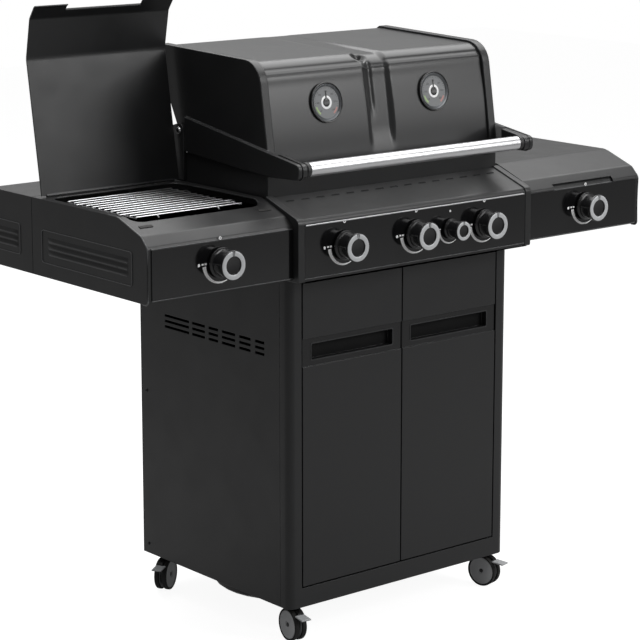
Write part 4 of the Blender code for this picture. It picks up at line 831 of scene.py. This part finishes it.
def knob_facts(name):
    """Seat on the fascia, axes of its face and scale of a knob, from its hinge and the fascia in front of it."""
    joint = JOINTS[name]
    fascia = {"knob_1": "left_shelf_fascia", "knob_6": "right_shelf_fascia"}.get(name, "console_fascia")
    x, _, z = joint["pos_m"]
    return np.array([x, float(low(fascia)[1]), z]), frame_of((0, -1, 0)), SMALL_SCALE if name == SMALL_KNOB else 1.0


class GRILL_OT_knobs(bpy.types.Operator):
    """Build the control knobs with their face rings and pointers"""
    bl_idname = "grill.knobs"
    bl_label = "Knobs"

    def execute(self, context):
        for name in KNOBS:
            seat, axes, scale = knob_facts(name)
            r, out = KNOB_RADIUS * scale, axes[2]
            body = filleted([(0, 0.0037), (r + 0.0009, 0.0037, 0.0004), (r + 0.0009, 0.0072, 0.0012),
                             (r * 0.92, 0.0092, 0.0020), (r * 0.885, 0.0130, 0.0040), (r * 0.885, 0.0345, 0.0040),
                             (r, 0.0378, 0.0016), (r, 0.0412, 0.0008), (r * 0.96, 0.0415, 0.0004),
                             (r * 0.61, 0.0415, 0.0004), (r * 0.595, 0.0393, 0.0006), (0, 0.0388)], 5)
            piece(f"{name}_grip", [turned(body, seat, out, 72)], FINISHES["knob_gloss"], name, [name])
            gap = math.degrees(0.0036 * scale / r)
            face = block_section(r * 0.62, r * 0.94, FACE_LOW, FACE_HIGH, 0.0004)
            bar = box_section(0.0013 * scale, r * 0.30, 0.0004 * scale)
            piece(f"{name}_face_ring",
                  [arc(face, 90 + gap, 450 - gap, seat, axes, 84),
                   plate(bar + np.array([0.0, r * 0.79]), seat + out * FACE_LOW, axes, 0.0011, 0.0002)],
                  FINISHES["ring_grey"], name)
        return {"FINISHED"}


class GRILL_OT_prints(bpy.types.Operator):
    """Print the heat arcs and small signs round the knobs"""
    bl_idname = "grill.prints"
    bl_label = "Printed marks"

    def execute(self, context):
        radius = context.scene.grill_sizes.arc_radius
        marks = []
        for name in KNOBS:
            seat, axes, scale = knob_facts(name)
            r = radius * (scale if scale == 1.0 else SMALL_ARC)
            wide = 0.0082 * scale
            marks.append(arc(block_section(r - wide / 2, r + wide / 2, 0, PRINT, 0.0001), 186, 304, seat, axes, 60,
                             taper=0.14))
            dot = turned([(0, 0), (0.0030 * scale, 0), (0.0030 * scale, PRINT), (0, PRINT)],
                         seat - axes[0] * (r + 0.0125 * scale), axes[2], 20)
            bars = [plate(box_section(0.0052 * scale, 0.0034 * scale, 0.0004) + np.array([x * scale, 0.0008]),
                          seat - axes[0] * r, axes, PRINT, 0.0001) for x in (-0.0036, 0.0034)]
            sign = arc(block_section(0.0014 * scale, 0.0034 * scale, 0, PRINT, 0.0001), 0, 360,
                       seat + axes[1] * (r + 0.0085 * scale), axes, 25)
            marks += [dot, *bars, sign]
        piece("printed_marks", marks, FINISHES["print_white"], "cart")
        return {"FINISHED"}


# ---- Console ---------------------------------------------------------------------------------
CONSOLE_SLOPE = math.radians(19.2)
SLOPE_BACK_Y = FRONT_Y + 0.0515
DASH_Y = FRONT_Y + 0.0290               # line of the vent dashes


def on_slope(x, y):
    """Point on the console's sloping top."""
    return np.array([x, y, WORK_Z - 0.0003 - (SLOPE_BACK_Y - y) * math.tan(CONSOLE_SLOPE)])


def strip(xs, y, z, width, height, radius):
    """Rounded bar along x through three places at one depth and height."""
    return swept(box_section(width, height, radius), np.array([[x, y, z] for x in xs]))


def stadium(length, width, count=10):
    """Outline with half-round ends, along across."""
    half, r = (length - width) / 2, width / 2
    turn = np.linspace(-math.pi / 2, math.pi / 2, count)
    end = np.stack([half + r * np.cos(turn), r * np.sin(turn)], -1)
    return np.concatenate([end, -end])


class GRILL_OT_console(bpy.types.Operator):
    """Build the console's vent dashes with lips in the lighter edge coat and floors of painted shade, the bright
    strip over its fascia and the fascias' edge lines of painted highlight
    """
    bl_idname = "grill.console"
    bl_label = "Console"

    def execute(self, context):
        sizes = context.scene.grill_sizes
        axes = frame_of((0, -math.sin(CONSOLE_SLOPE), math.cos(CONSOLE_SLOPE)), (0, 1, 0))
        first = -sizes.dash_pitch * (sizes.dashes - 1) / 2
        seats = [on_slope(first + sizes.dash_pitch * number, DASH_Y) for number in range(sizes.dashes)]
        outer, inner = stadium(sizes.dash_length + 0.0018, 0.0062), stadium(sizes.dash_length, 0.0044)
        # Lips round the vent dashes in the lighter edge coat: partly scuffed coat, partly painted highlight.
        piece("console_vent_lips", [band(inner, outer, seat, axes, 0.0004) for seat in seats],
              FINISHES["powder_edge_highlight_and_wear"], "cart")
        # Flat black plates in the vent dashes: painted shade.
        piece("console_vent_shade", [plate(inner * 0.99, seat, axes, 0.00015, 0.00005) for seat in seats],
              FINISHES["painted_shade_recess"], "cart")
        a, b = low("console_fascia"), high("console_fascia")
        piece("console_bright_strip",
              [strip((a[0] + 0.003, 0, b[0] - 0.003), a[1] + 0.0008, b[2] + 0.0016, 0.0022, 0.0026, 0.0006)],
              FINISHES["steel_along"], "cart")
        lines = []
        # Light grey lines along the fascias' top and bottom edges: painted highlight.
        for name in ("left_shelf_fascia", "right_shelf_fascia", "console_fascia"):
            a, b = low(name), high(name)
            xs = (a[0], (a[0] + b[0]) / 2, b[0])
            if name != "console_fascia":
                lines.append(strip(xs, a[1] + 0.0019, b[2] + 0.0010, 0.0016, 0.0016, 0.0004))
            lines.append(strip(xs, a[1] + 0.0012, a[2] - 0.0012, 0.0016, 0.0016, 0.0004))
        piece("fascia_highlight_lines", lines, FINISHES["painted_highlight_line"], "cart")
        return {"FINISHED"}


# ---- Doors -----------------------------------------------------------------------------------
BAND_X, BAND_Z = (0.0015, 0.2635), (0.5755, 0.6325)    # recessed band: distances from the middle, and heights
SLOT_X, SLOT_Z = (0.0245, 0.2405), (0.5875, 0.6205)    # finger slot in the band
BAND_FLOOR_Y, SLOT_FLOOR_Y = FRONT_Y + 0.003, FRONT_Y + 0.0168


def door_outline(sign, xs, zs, inset, radius):
    """Rounded rectangle between two distances from the middle and two heights, drawn in by inset (across, up)."""
    left, right = sorted((sign * (xs[0] + inset[0]), sign * (xs[1] - inset[0])))
    bottom, top = zs[0] + inset[1], zs[1] - inset[1]
    return filleted([(left, bottom, radius), (right, bottom, radius), (right, top, radius), (left, top, radius)], 4,
                    closed=True)


class GRILL_OT_doors(bpy.types.Operator):
    """Line the doors' recessed bands and finger slots: the slots' rims take the lighter edge coat, partly painted
    highlight, and their backs a flat black plate of painted shade
    """
    bl_idname = "grill.doors"
    bl_label = "Door bands"

    def execute(self, context):
        axes = frame_of((0, -1, 0))
        seat = np.array([0, BAND_FLOOR_Y, 0])
        for side, sign in SIDES.items():
            door = f"{side}_door"
            outer = door_outline(sign, BAND_X, BAND_Z, (0.0008, 0.0012), 0.001)
            inner = door_outline(sign, SLOT_X, SLOT_Z, (-0.0006, -0.0006), 0.003)
            piece(f"{door}_band", [band(inner, outer, seat, axes, 0.0005)], FINISHES["band_black"], door)
            # Rim round the finger slot in the lighter edge coat: partly scuffed coat, partly painted highlight.
            rim_in = door_outline(sign, SLOT_X, SLOT_Z, (0.0004, 0.0004), 0.003)
            rim_out = door_outline(sign, SLOT_X, SLOT_Z, (-0.0018, -0.0018), 0.004)
            piece(f"{door}_slot_rim", [band(rim_in, rim_out, seat + axes[2] * 0.0004, axes, 0.0008)],
                  FINISHES["powder_edge_highlight_and_wear"], door)
            # Flat black plate at the slot's back: painted shade.
            back = door_outline(sign, SLOT_X, SLOT_Z, (0.0008, 0.0008), 0.001)
            piece(f"{door}_slot_shade_liner", [plate(back, (0, SLOT_FLOOR_Y, 0), axes, 0.0004, 0.0001)],
                  FINISHES["painted_shade_recess"], door)
        return {"FINISHED"}


# ---- Shelves ---------------------------------------------------------------------------------
SHELF_SLOPE = math.radians(20.0)
SHELF_BEND_Y = FRONT_Y + 0.0620
SEAM_Y = FRONT_Y + 0.355                # seam between the shelf and its rear part
PAD_Y = FRONT_Y + 0.0165                # line of the lid's rubber bumpers
BEAD = 0.0016                           # radius of the light grey bead of painted highlight round the shelf's end
LOUVER_ROWS = (0.839, 0.826, 0.8135)    # middle heights
LOUVER_HEIGHT = 0.0090
# Each louver group: the ends of its panel from the front, the panel's heights and the ends of its louvers.
LOUVER_GROUPS = ((0.015, 0.319, 0.792, 0.856, 0.027, 0.298), (0.399, 0.497, 0.796, 0.857, 0.406, 0.490))


def louver(start, length, height, depth, axes, rows=10, columns=28):
    """A pressed louver as a closed bulge: depth * sin(pi * v^0.6) * (1 - |u|^8) over the panel, where u runs along
    it from -1 to 1 and v up it from 0 to 1, so its steep side is at the bottom."""
    u, v = np.linspace(-1, 1, columns), np.linspace(0, 1, rows)
    rise = depth * np.sin(math.pi * v[:, None] ** 0.6) * (1 - np.abs(u[None]) ** 8)
    across, up = np.broadcast_to(u * length / 2, rise.shape), np.broadcast_to(v[:, None] * height, rise.shape)
    outer = np.stack([across, up, rise + 0.0001], -1)
    inner = np.stack([across, up, np.zeros_like(rise)], -1)
    return shell(outer @ axes + start, inner @ axes + start)


def front_edge(x):
    """Line at x along a shelf's outline: down the slope, round the fold, down the front and in under it."""
    front, bottom = FRONT_Y - 0.0330, float(low("right_shelf")[2])
    fold = FRONT_Y - 0.0130
    fold_z = WORK_Z - (SHELF_BEND_Y - fold) * math.tan(SHELF_SLOPE)
    line = filleted([(SHELF_BEND_Y + 0.030, WORK_Z), (SHELF_BEND_Y, WORK_Z, 0.030), (fold, fold_z, 0.012),
                     (front, fold_z - 0.020, 0.012), (front, bottom, 0.010), (front + 0.016, bottom)], 6)
    return np.stack([np.full(len(line), x), line[:, 0], line[:, 1]], -1)


class GRILL_OT_shelves(bpy.types.Operator):
    """Build the shelves' louvers, rubber bumpers, the light grey louver lips, panel lines and edge beads of painted
    highlight, and the seams' flat black lines of painted shade
    """
    bl_idname = "grill.shelves"
    bl_label = "Shelf detail"

    def execute(self, context):
        depth = context.scene.grill_sizes.louver
        for side, sign in SIDES.items():
            end_x = sign * float(high("right_shelf")[0])
            axes = frame_of((sign, 0, 0))
            louvers, lips, lines = [], [], []
            for y0, y1, z0, z1, l0, l1 in LOUVER_GROUPS:
                middle = FRONT_Y + (l0 + l1) / 2
                for z in LOUVER_ROWS:
                    start = np.array([end_x, middle, z - LOUVER_HEIGHT / 2])
                    louvers.append(louver(start, l1 - l0, LOUVER_HEIGHT, depth, axes))
                    # Light grey lip along each louver: painted highlight.
                    lips.append(plate(box_section(l1 - l0 - 0.006, 0.0016, 0.0005), start - axes[1] * 0.0006, axes,
                                      0.0008, 0.0003))
                # Light grey outline round each louver panel: painted highlight.
                centre = np.array([end_x, FRONT_Y + (y0 + y1) / 2, (z0 + z1) / 2])
                inner = box_section(y1 - y0, z1 - z0, 0.006, 5)
                outer = box_section(y1 - y0 + 0.0024, z1 - z0 + 0.0024, 0.0072, 5)
                lines.append(band(inner, outer, centre, axes, 0.0013))
            piece(f"{side}_shelf_louvers", louvers, FINISHES["powder_black"], "cart")
            piece(f"{side}_shelf_louver_highlight_lips", lips, FINISHES["painted_highlight_line"], "cart")
            piece(f"{side}_shelf_panel_highlight_lines", lines, FINISHES["painted_highlight_line"], "cart")
            # Light grey bead along the shelf's front edge: painted highlight.
            piece(f"{side}_shelf_edge_highlight_bead", [swept(round_section(BEAD, 8), front_edge(end_x - sign * BEAD))],
                  FINISHES["painted_highlight_line"], "cart")
            shelf_low, shelf_high = low(f"{side}_shelf"), high(f"{side}_shelf")
            # Flat black lines at the seam: painted shade.
            seam = [plate(box_section(0.0012, shelf_high[2] - shelf_low[2] - 0.004, 0.0003),
                          (end_x, SEAM_Y, (shelf_high[2] + shelf_low[2]) / 2), axes, 0.00015, 0.00005),
                    plate(box_section(shelf_high[0] - shelf_low[0] - 0.003, 0.0012, 0.0003),
                          ((shelf_high[0] + shelf_low[0]) / 2, SEAM_Y, shelf_high[2]), frame_of((0, 0, 1), (0, 1, 0)),
                          0.00015, 0.00005)]
            piece(f"{side}_shelf_seam_shade", seam, FINISHES["painted_shade_recess"], "cart")
            slope_axes = frame_of((0, -math.sin(SHELF_SLOPE), math.cos(SHELF_SLOPE)), (0, 1, 0))
            pad_z = shelf_high[2] - (SHELF_BEND_Y - PAD_Y) * math.tan(SHELF_SLOPE)
            inner_end = sign * (min(abs(shelf_low[0]), abs(shelf_high[0])) + 0.030)
            outer_end = sign * (max(abs(shelf_low[0]), abs(shelf_high[0])) - 0.034)
            pads = [plate(box_section(0.030, 0.0080, 0.0014), (x, PAD_Y, pad_z), slope_axes, 0.0012, 0.0004)
                    for x in (inner_end, outer_end)]
            piece(f"{side}_shelf_bumpers", pads, FINISHES["rubber"], "cart")
        return {"FINISHED"}


# ---- Side burners ----------------------------------------------------------------------------
CROSS_BAR_X = 0.072                     # distance of each bent cross bar from the grate's middle
BASE_TOP, HEAD_TOP = 0.0180, 0.0240     # heights of the burner's base and of its ported head
PORTS = 36
UPWARD = (0, 0, 1)


def bar_path(points, radius, steps=5):
    """A bar's centre line through (along, height) corners, rounded at radius."""
    return filleted([(a, b, 0.0 if index in (0, len(points) - 1) else radius)
                     for index, (a, b) in enumerate(points)], steps)


class GRILL_OT_side_burners(bpy.types.Operator):
    """Build each side burner's wire grate, burner head and igniter"""
    bl_idname = "grill.side_burners"
    bl_label = "Side burners"

    def execute(self, context):
        sizes = context.scene.grill_sizes
        r = sizes.bar_radius
        section = round_section(r, 14)
        for side, sign in SIDES.items():
            grate, burner = f"{side}_side_grate", f"{side}_side_burner"
            a, b = low(grate), high(grate)
            z = b[2] - r
            middle_x = (a[0] + b[0]) / 2
            bars = []
            for index, y in enumerate(np.linspace(a[1] + r, b[1] - r, sizes.bars)):
                reach, drop = (0.011, 0.0100) if index % 7 == 2 else (0.0, 0.0030)
                left, right = a[0] + r - reach, b[0] - r + reach
                line = bar_path([(left, z - drop), (left, z), (right, z), (right, z - drop)], drop * 0.6)
                path = np.stack([line[:, 0], np.full(len(line), y), line[:, 1]], -1)
                bars.append(swept(section, path, (0, 1, 0)))
            for x in (middle_x - CROSS_BAR_X, middle_x + CROSS_BAR_X):
                line = bar_path([(a[1] + r, a[2] + 0.0006), (a[1] + r, z - 2 * r), (b[1] - r, z - 2 * r),
                                 (b[1] - r, a[2] + 0.0006)], 0.007)
                path = np.stack([np.full(len(line), x), line[:, 0], line[:, 1]], -1)
                bars.append(swept(section, path, (1, 0, 0)))
            ends = (a[1] + 0.004, (a[1] + b[1]) / 2, b[1] - 0.004)
            for x in (a[0] + 2 * r + 0.0004, b[0] - 2 * r - 0.0004):
                bars.append(swept(section, np.array([[x, y, z - 2 * r] for y in ends]), UPWARD))
            piece(f"{side}_grate_bars", bars, FINISHES["steel_along"], "cart", [grate])
            feet = [turned(filleted([(0, 0), (0.0052, 0, 0.0006), (0.0046, 0.0052, 0.0012), (0, 0.0052)], 3),
                           (x, y, a[2] + 0.0002), UPWARD, 20)
                    for x in (middle_x - CROSS_BAR_X, middle_x + CROSS_BAR_X) for y in (a[1] + r, b[1] - r)]
            piece(f"{side}_grate_feet", feet, FINISHES["rubber"], "cart")

            c, d = low(burner), high(burner)
            seat = np.array([(c[0] + d[0]) / 2, (c[1] + d[1]) / 2, c[2]])
            base = filleted([(0, 0), (0.0500, 0, 0.0010), (0.0500, 0.0040, 0.0014), (0.0330, 0.0070, 0.0030),
                             (0.0300, 0.0120, 0.0020), (0.0300, BASE_TOP), (0, BASE_TOP)], 5)
            piece(f"{side}_burner_base", [turned(base, seat, UPWARD, 64)], FINISHES["aluminium"], "cart", [burner])
            head = filleted([(0, BASE_TOP), (0.0375, BASE_TOP, 0.0010), (0.0395, 0.0225, 0.0010), (0.0360, HEAD_TOP),
                             (0, HEAD_TOP)], 3)
            piece(f"{side}_burner_ports", [turned(head, seat, UPWARD, 8 * PORTS, teeth=PORTS, bite=0.0022)],
                  FINISHES["aluminium"], "cart")
            cap = filleted([(0, HEAD_TOP), (0.0385, HEAD_TOP, 0.0006), (0.0400, 0.0258, 0.0010),
                            (0.0340, 0.0284, 0.0060), (0.0180, 0.0296, 0.0060), (0, 0.0298)], 5)
            piece(f"{side}_burner_cap", [turned(cap, seat, UPWARD, 72)], FINISHES["cast_iron"], "cart")
            spark = seat + np.array([sign * 0.0455, -0.006, 0])
            rod = filleted([(0, 0.002), (0.0030, 0.002), (0.0030, 0.0150, 0.0010), (0.0010, 0.0155), (0.0009, 0.0225),
                            (0, 0.0225)], 3)
            piece(f"{side}_igniter", [turned(rod, spark, UPWARD, 20)], FINISHES["ring_grey"], "cart")
        return {"FINISHED"}


# ---- Casters ---------------------------------------------------------------------------------
class GRILL_OT_casters(bpy.types.Operator):
    """Build the twin tyres and hub covers and round off the housings and brake tabs"""
    bl_idname = "grill.casters"
    bl_label = "Casters"

    def execute(self, context):
        for name in CASTERS:
            wheel = JOINTS[f"{name}_wheel"]
            axle, hub = np.array(wheel["axis"], float), np.array(wheel["pos_m"], float)
            body = f"{name}_wheel"
            tyre = filleted([(0.0300, 0.0036), (0.0328, 0.0036, 0.0010), (0.0340, 0.0052, 0.0014),
                             (0.0340, 0.0126, 0.0018), (0.0328, 0.0140, 0.0010), (0.0306, 0.0140, 0.0006),
                             (0.0300, 0.0128)], 5)
            disc = filleted([(0, 0.0036), (0.0298, 0.0036), (0.0298, 0.0126, 0.0006), (0.0284, 0.0137, 0.0008),
                             (0.0240, 0.0128, 0.0010), (0.0120, 0.0132, 0.0030), (0.0072, 0.0134, 0.0008),
                             (0.0066, 0.0118, 0.0006), (0, 0.0118)], 5)
            screw = filleted([(0, 0.0118), (0.0046, 0.0118), (0.0046, 0.0128, 0.0006), (0, 0.0134)], 3)
            tyres, discs, heads = [], [], []
            for sign in (-1, 1):
                tyres.append(turned(tyre, hub, axle * sign, 72, ring=True))
                discs.append(turned(disc, hub, axle * sign, 64))
                heads.append(turned(screw, hub, axle * sign, 24))
            core = turned([(0, -0.0040), (0.0046, -0.0040), (0.0046, 0.0040), (0, 0.0040)], hub, axle, 24)
            piece(f"{name}_tyres", tyres, FINISHES["rubber"], body, [body])
            piece(f"{name}_hub_covers", discs, FINISHES["hub_grey"], body)
            piece(f"{name}_hub_screws", heads + [core], FINISHES["black_plastic"], body)
            softened(f"{name}_caster", FINISHES["black_plastic"], None, 0.0009, 3)
            softened(f"{name}_pedal", FINISHES["tab_grey"], None, 0.0007, 3)
        return {"FINISHED"}


# ---- Stage -----------------------------------------------------------------------------------
# Each lamp: name, place, the point that it looks at, width, depth and power in watts.
LAMPS = (("overhead_softbox", (0.9, 0.6, 3.4), (0.2, 0.0, 0.8), 4.4, 3.4, 160),
         ("front_strip", (2.35, -2.95, 1.45), (0.0, -0.1, 1.05), 2.8, 0.36, 10),
         ("front_softbox", (1.9, -3.3, 2.7), (0.0, 0.0, 0.7), 2.0, 1.6, 64),
         ("left_softbox", (-1.7, -0.7, 4.1), (-0.3, 0.0, 1.1), 1.4, 1.6, 28),
         ("rear_softbox", (2.2, 3.0, 2.35), (0.0, 0.0, 0.9), 4.2, 2.3, 8))
SURROUND = 0.20                         # strength of the soft light from all round
FLOOR_GLOW, MIRRORED_GLOW = 0.93, 0.24  # the floor's own light as seen, and as seen in glossy pieces
FLOOR_HALF, FLOOR_LINES = 9, 13
LENS, SENSOR, SHIFT_Y = 132.54, 36.0, -0.0812
CAMERA_PLACE = (-3.1456, -3.5263 + FRONT_Y, 1.6914)
CAMERA_DROP, CAMERA_TURN = 11.345, -39.686    # degrees down from level, and round from facing +y


def area_light(name, place, target, width, depth, power):
    """A soft rectangular lamp at place that looks at target."""
    lamp = bpy.data.lights.new(name, "AREA")
    lamp.shape = "RECTANGLE"
    lamp.size, lamp.size_y, lamp.energy = width, depth, power
    item = bpy.data.objects.new(name, lamp)
    bpy.context.scene.collection.objects.link(item)
    item.location = place
    item.rotation_euler = (Vector(target) - Vector(place)).to_track_quat("-Z", "Y").to_euler()
    item.visible_camera = False


class GRILL_OT_stage(bpy.types.Operator):
    """Set the pale floor, the soft lights, the surroundings and the camera"""
    bl_idname = "grill.stage"
    bl_label = "Stage"

    def execute(self, context):
        scene = context.scene
        tints = scene.grill_colours
        material, tree, principled = shader("studio_floor", {"Roughness": 0.9, "Specular IOR Level": 0.1})
        place = node(tree, "ShaderNodeTexCoord").outputs["Object"]
        mottle = node(tree, "ShaderNodeTexNoise", {"Vector": place, "Scale": 1.5, "Detail": 2.0})
        shades = node(tree, "ShaderNodeMix", {"Factor": mottle.outputs["Fac"], 6: (*tints.floor, 1),
                                              7: (*[channel * 0.97 for channel in tints.floor], 1)}, data_type="RGBA")
        tree.links.new(shades.outputs[2], principled.inputs["Base Color"])
        path = node(tree, "ShaderNodeLightPath")
        mirrored = node(tree, "ShaderNodeMath", {0: path.outputs["Is Glossy Ray"], 1: MIRRORED_GLOW},
                        operation="MULTIPLY")
        lift = node(tree, "ShaderNodeMath", {0: path.outputs["Is Camera Ray"], 1: FLOOR_GLOW,
                                             2: mirrored.outputs[0]}, operation="MULTIPLY_ADD")
        principled.inputs["Emission Color"].default_value = (1, 1, 1, 1)
        tree.links.new(lift.outputs[0], principled.inputs["Emission Strength"])
        side = np.linspace(-FLOOR_HALF, FLOOR_HALF, FLOOR_LINES)
        grid = np.stack(np.meshgrid(side, side, indexing="xy"), -1)
        points = np.concatenate([grid, np.zeros(grid.shape[:2] + (1,))], -1)
        points, quads = surface(points, closed=False, capped=(False, False))
        mesh = bpy.data.meshes.new("studio_floor")
        mesh.from_pydata(points.tolist(), [], quads.tolist())
        mesh.materials.append(material)
        floor = bpy.data.objects.new("studio_floor", mesh)
        scene.collection.objects.link(floor)

        world = bpy.data.worlds.new("Studio")
        scene.world = world
        world.use_nodes = True
        sky = world.node_tree
        background = sky.nodes["Background"]
        background.inputs["Color"].default_value = (1, 1, 1, 1)
        background.inputs["Strength"].default_value = SURROUND
        seen = node(sky, "ShaderNodeBackground", {"Color": (1, 1, 1, 1), "Strength": 1.0})
        path = node(sky, "ShaderNodeLightPath")
        both = node(sky, "ShaderNodeMixShader", {0: path.outputs["Is Camera Ray"], 1: background.outputs[0],
                                                 2: seen.outputs[0]})
        sky.links.new(both.outputs[0], sky.nodes["World Output"].inputs["Surface"])

        for lamp in LAMPS:
            area_light(*lamp)

        data = bpy.data.cameras.new("view")
        data.lens, data.sensor_width, data.shift_y = LENS, SENSOR, SHIFT_Y
        camera = bpy.data.objects.new("view", data)
        scene.collection.objects.link(camera)
        camera.location = CAMERA_PLACE
        camera.rotation_euler = (math.radians(90 - CAMERA_DROP), 0.0, math.radians(CAMERA_TURN))
        scene.camera = camera
        scene.view_settings.view_transform = "Standard"
        return {"FINISHED"}


class GRILL_PT_panel(bpy.types.Panel):
    """Sizes, colours and builders of the grill"""
    bl_idname = "GRILL_PT_panel"
    bl_label = "Gas Barbecue Grill"
    bl_space_type = "VIEW_3D"
    bl_region_type = "UI"
    bl_category = "Grill"

    def draw(self, context):
        for holder in (context.scene.grill_sizes, context.scene.grill_colours):
            column = self.layout.column(align=True)
            for name in holder.__annotations__:
                column.prop(holder, name)
        for builder in BUILDERS:
            self.layout.operator(builder.bl_idname)


BUILDERS = (GRILL_OT_finishes, GRILL_OT_body, GRILL_OT_screws, GRILL_OT_lid, GRILL_OT_gauges, GRILL_OT_knobs,
            GRILL_OT_prints, GRILL_OT_console, GRILL_OT_doors, GRILL_OT_shelves, GRILL_OT_side_burners,
            GRILL_OT_casters, GRILL_OT_stage)
CLASSES = (GrillSizes, GrillColours, *BUILDERS, GRILL_PT_panel)


def register():
    for entry in CLASSES:
        bpy.utils.register_class(entry)
    bpy.types.Scene.grill_sizes = PointerProperty(type=GrillSizes)
    bpy.types.Scene.grill_colours = PointerProperty(type=GrillColours)


def unregister():
    del bpy.types.Scene.grill_sizes
    del bpy.types.Scene.grill_colours
    for entry in reversed(CLASSES):
        bpy.utils.unregister_class(entry)


def main():
    """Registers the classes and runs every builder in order."""
    register()
    for builder in BUILDERS:
        group_name, operator = builder.bl_idname.split(".")
        getattr(getattr(bpy.ops, group_name), operator)()


if __name__ == "__main__":
    main()
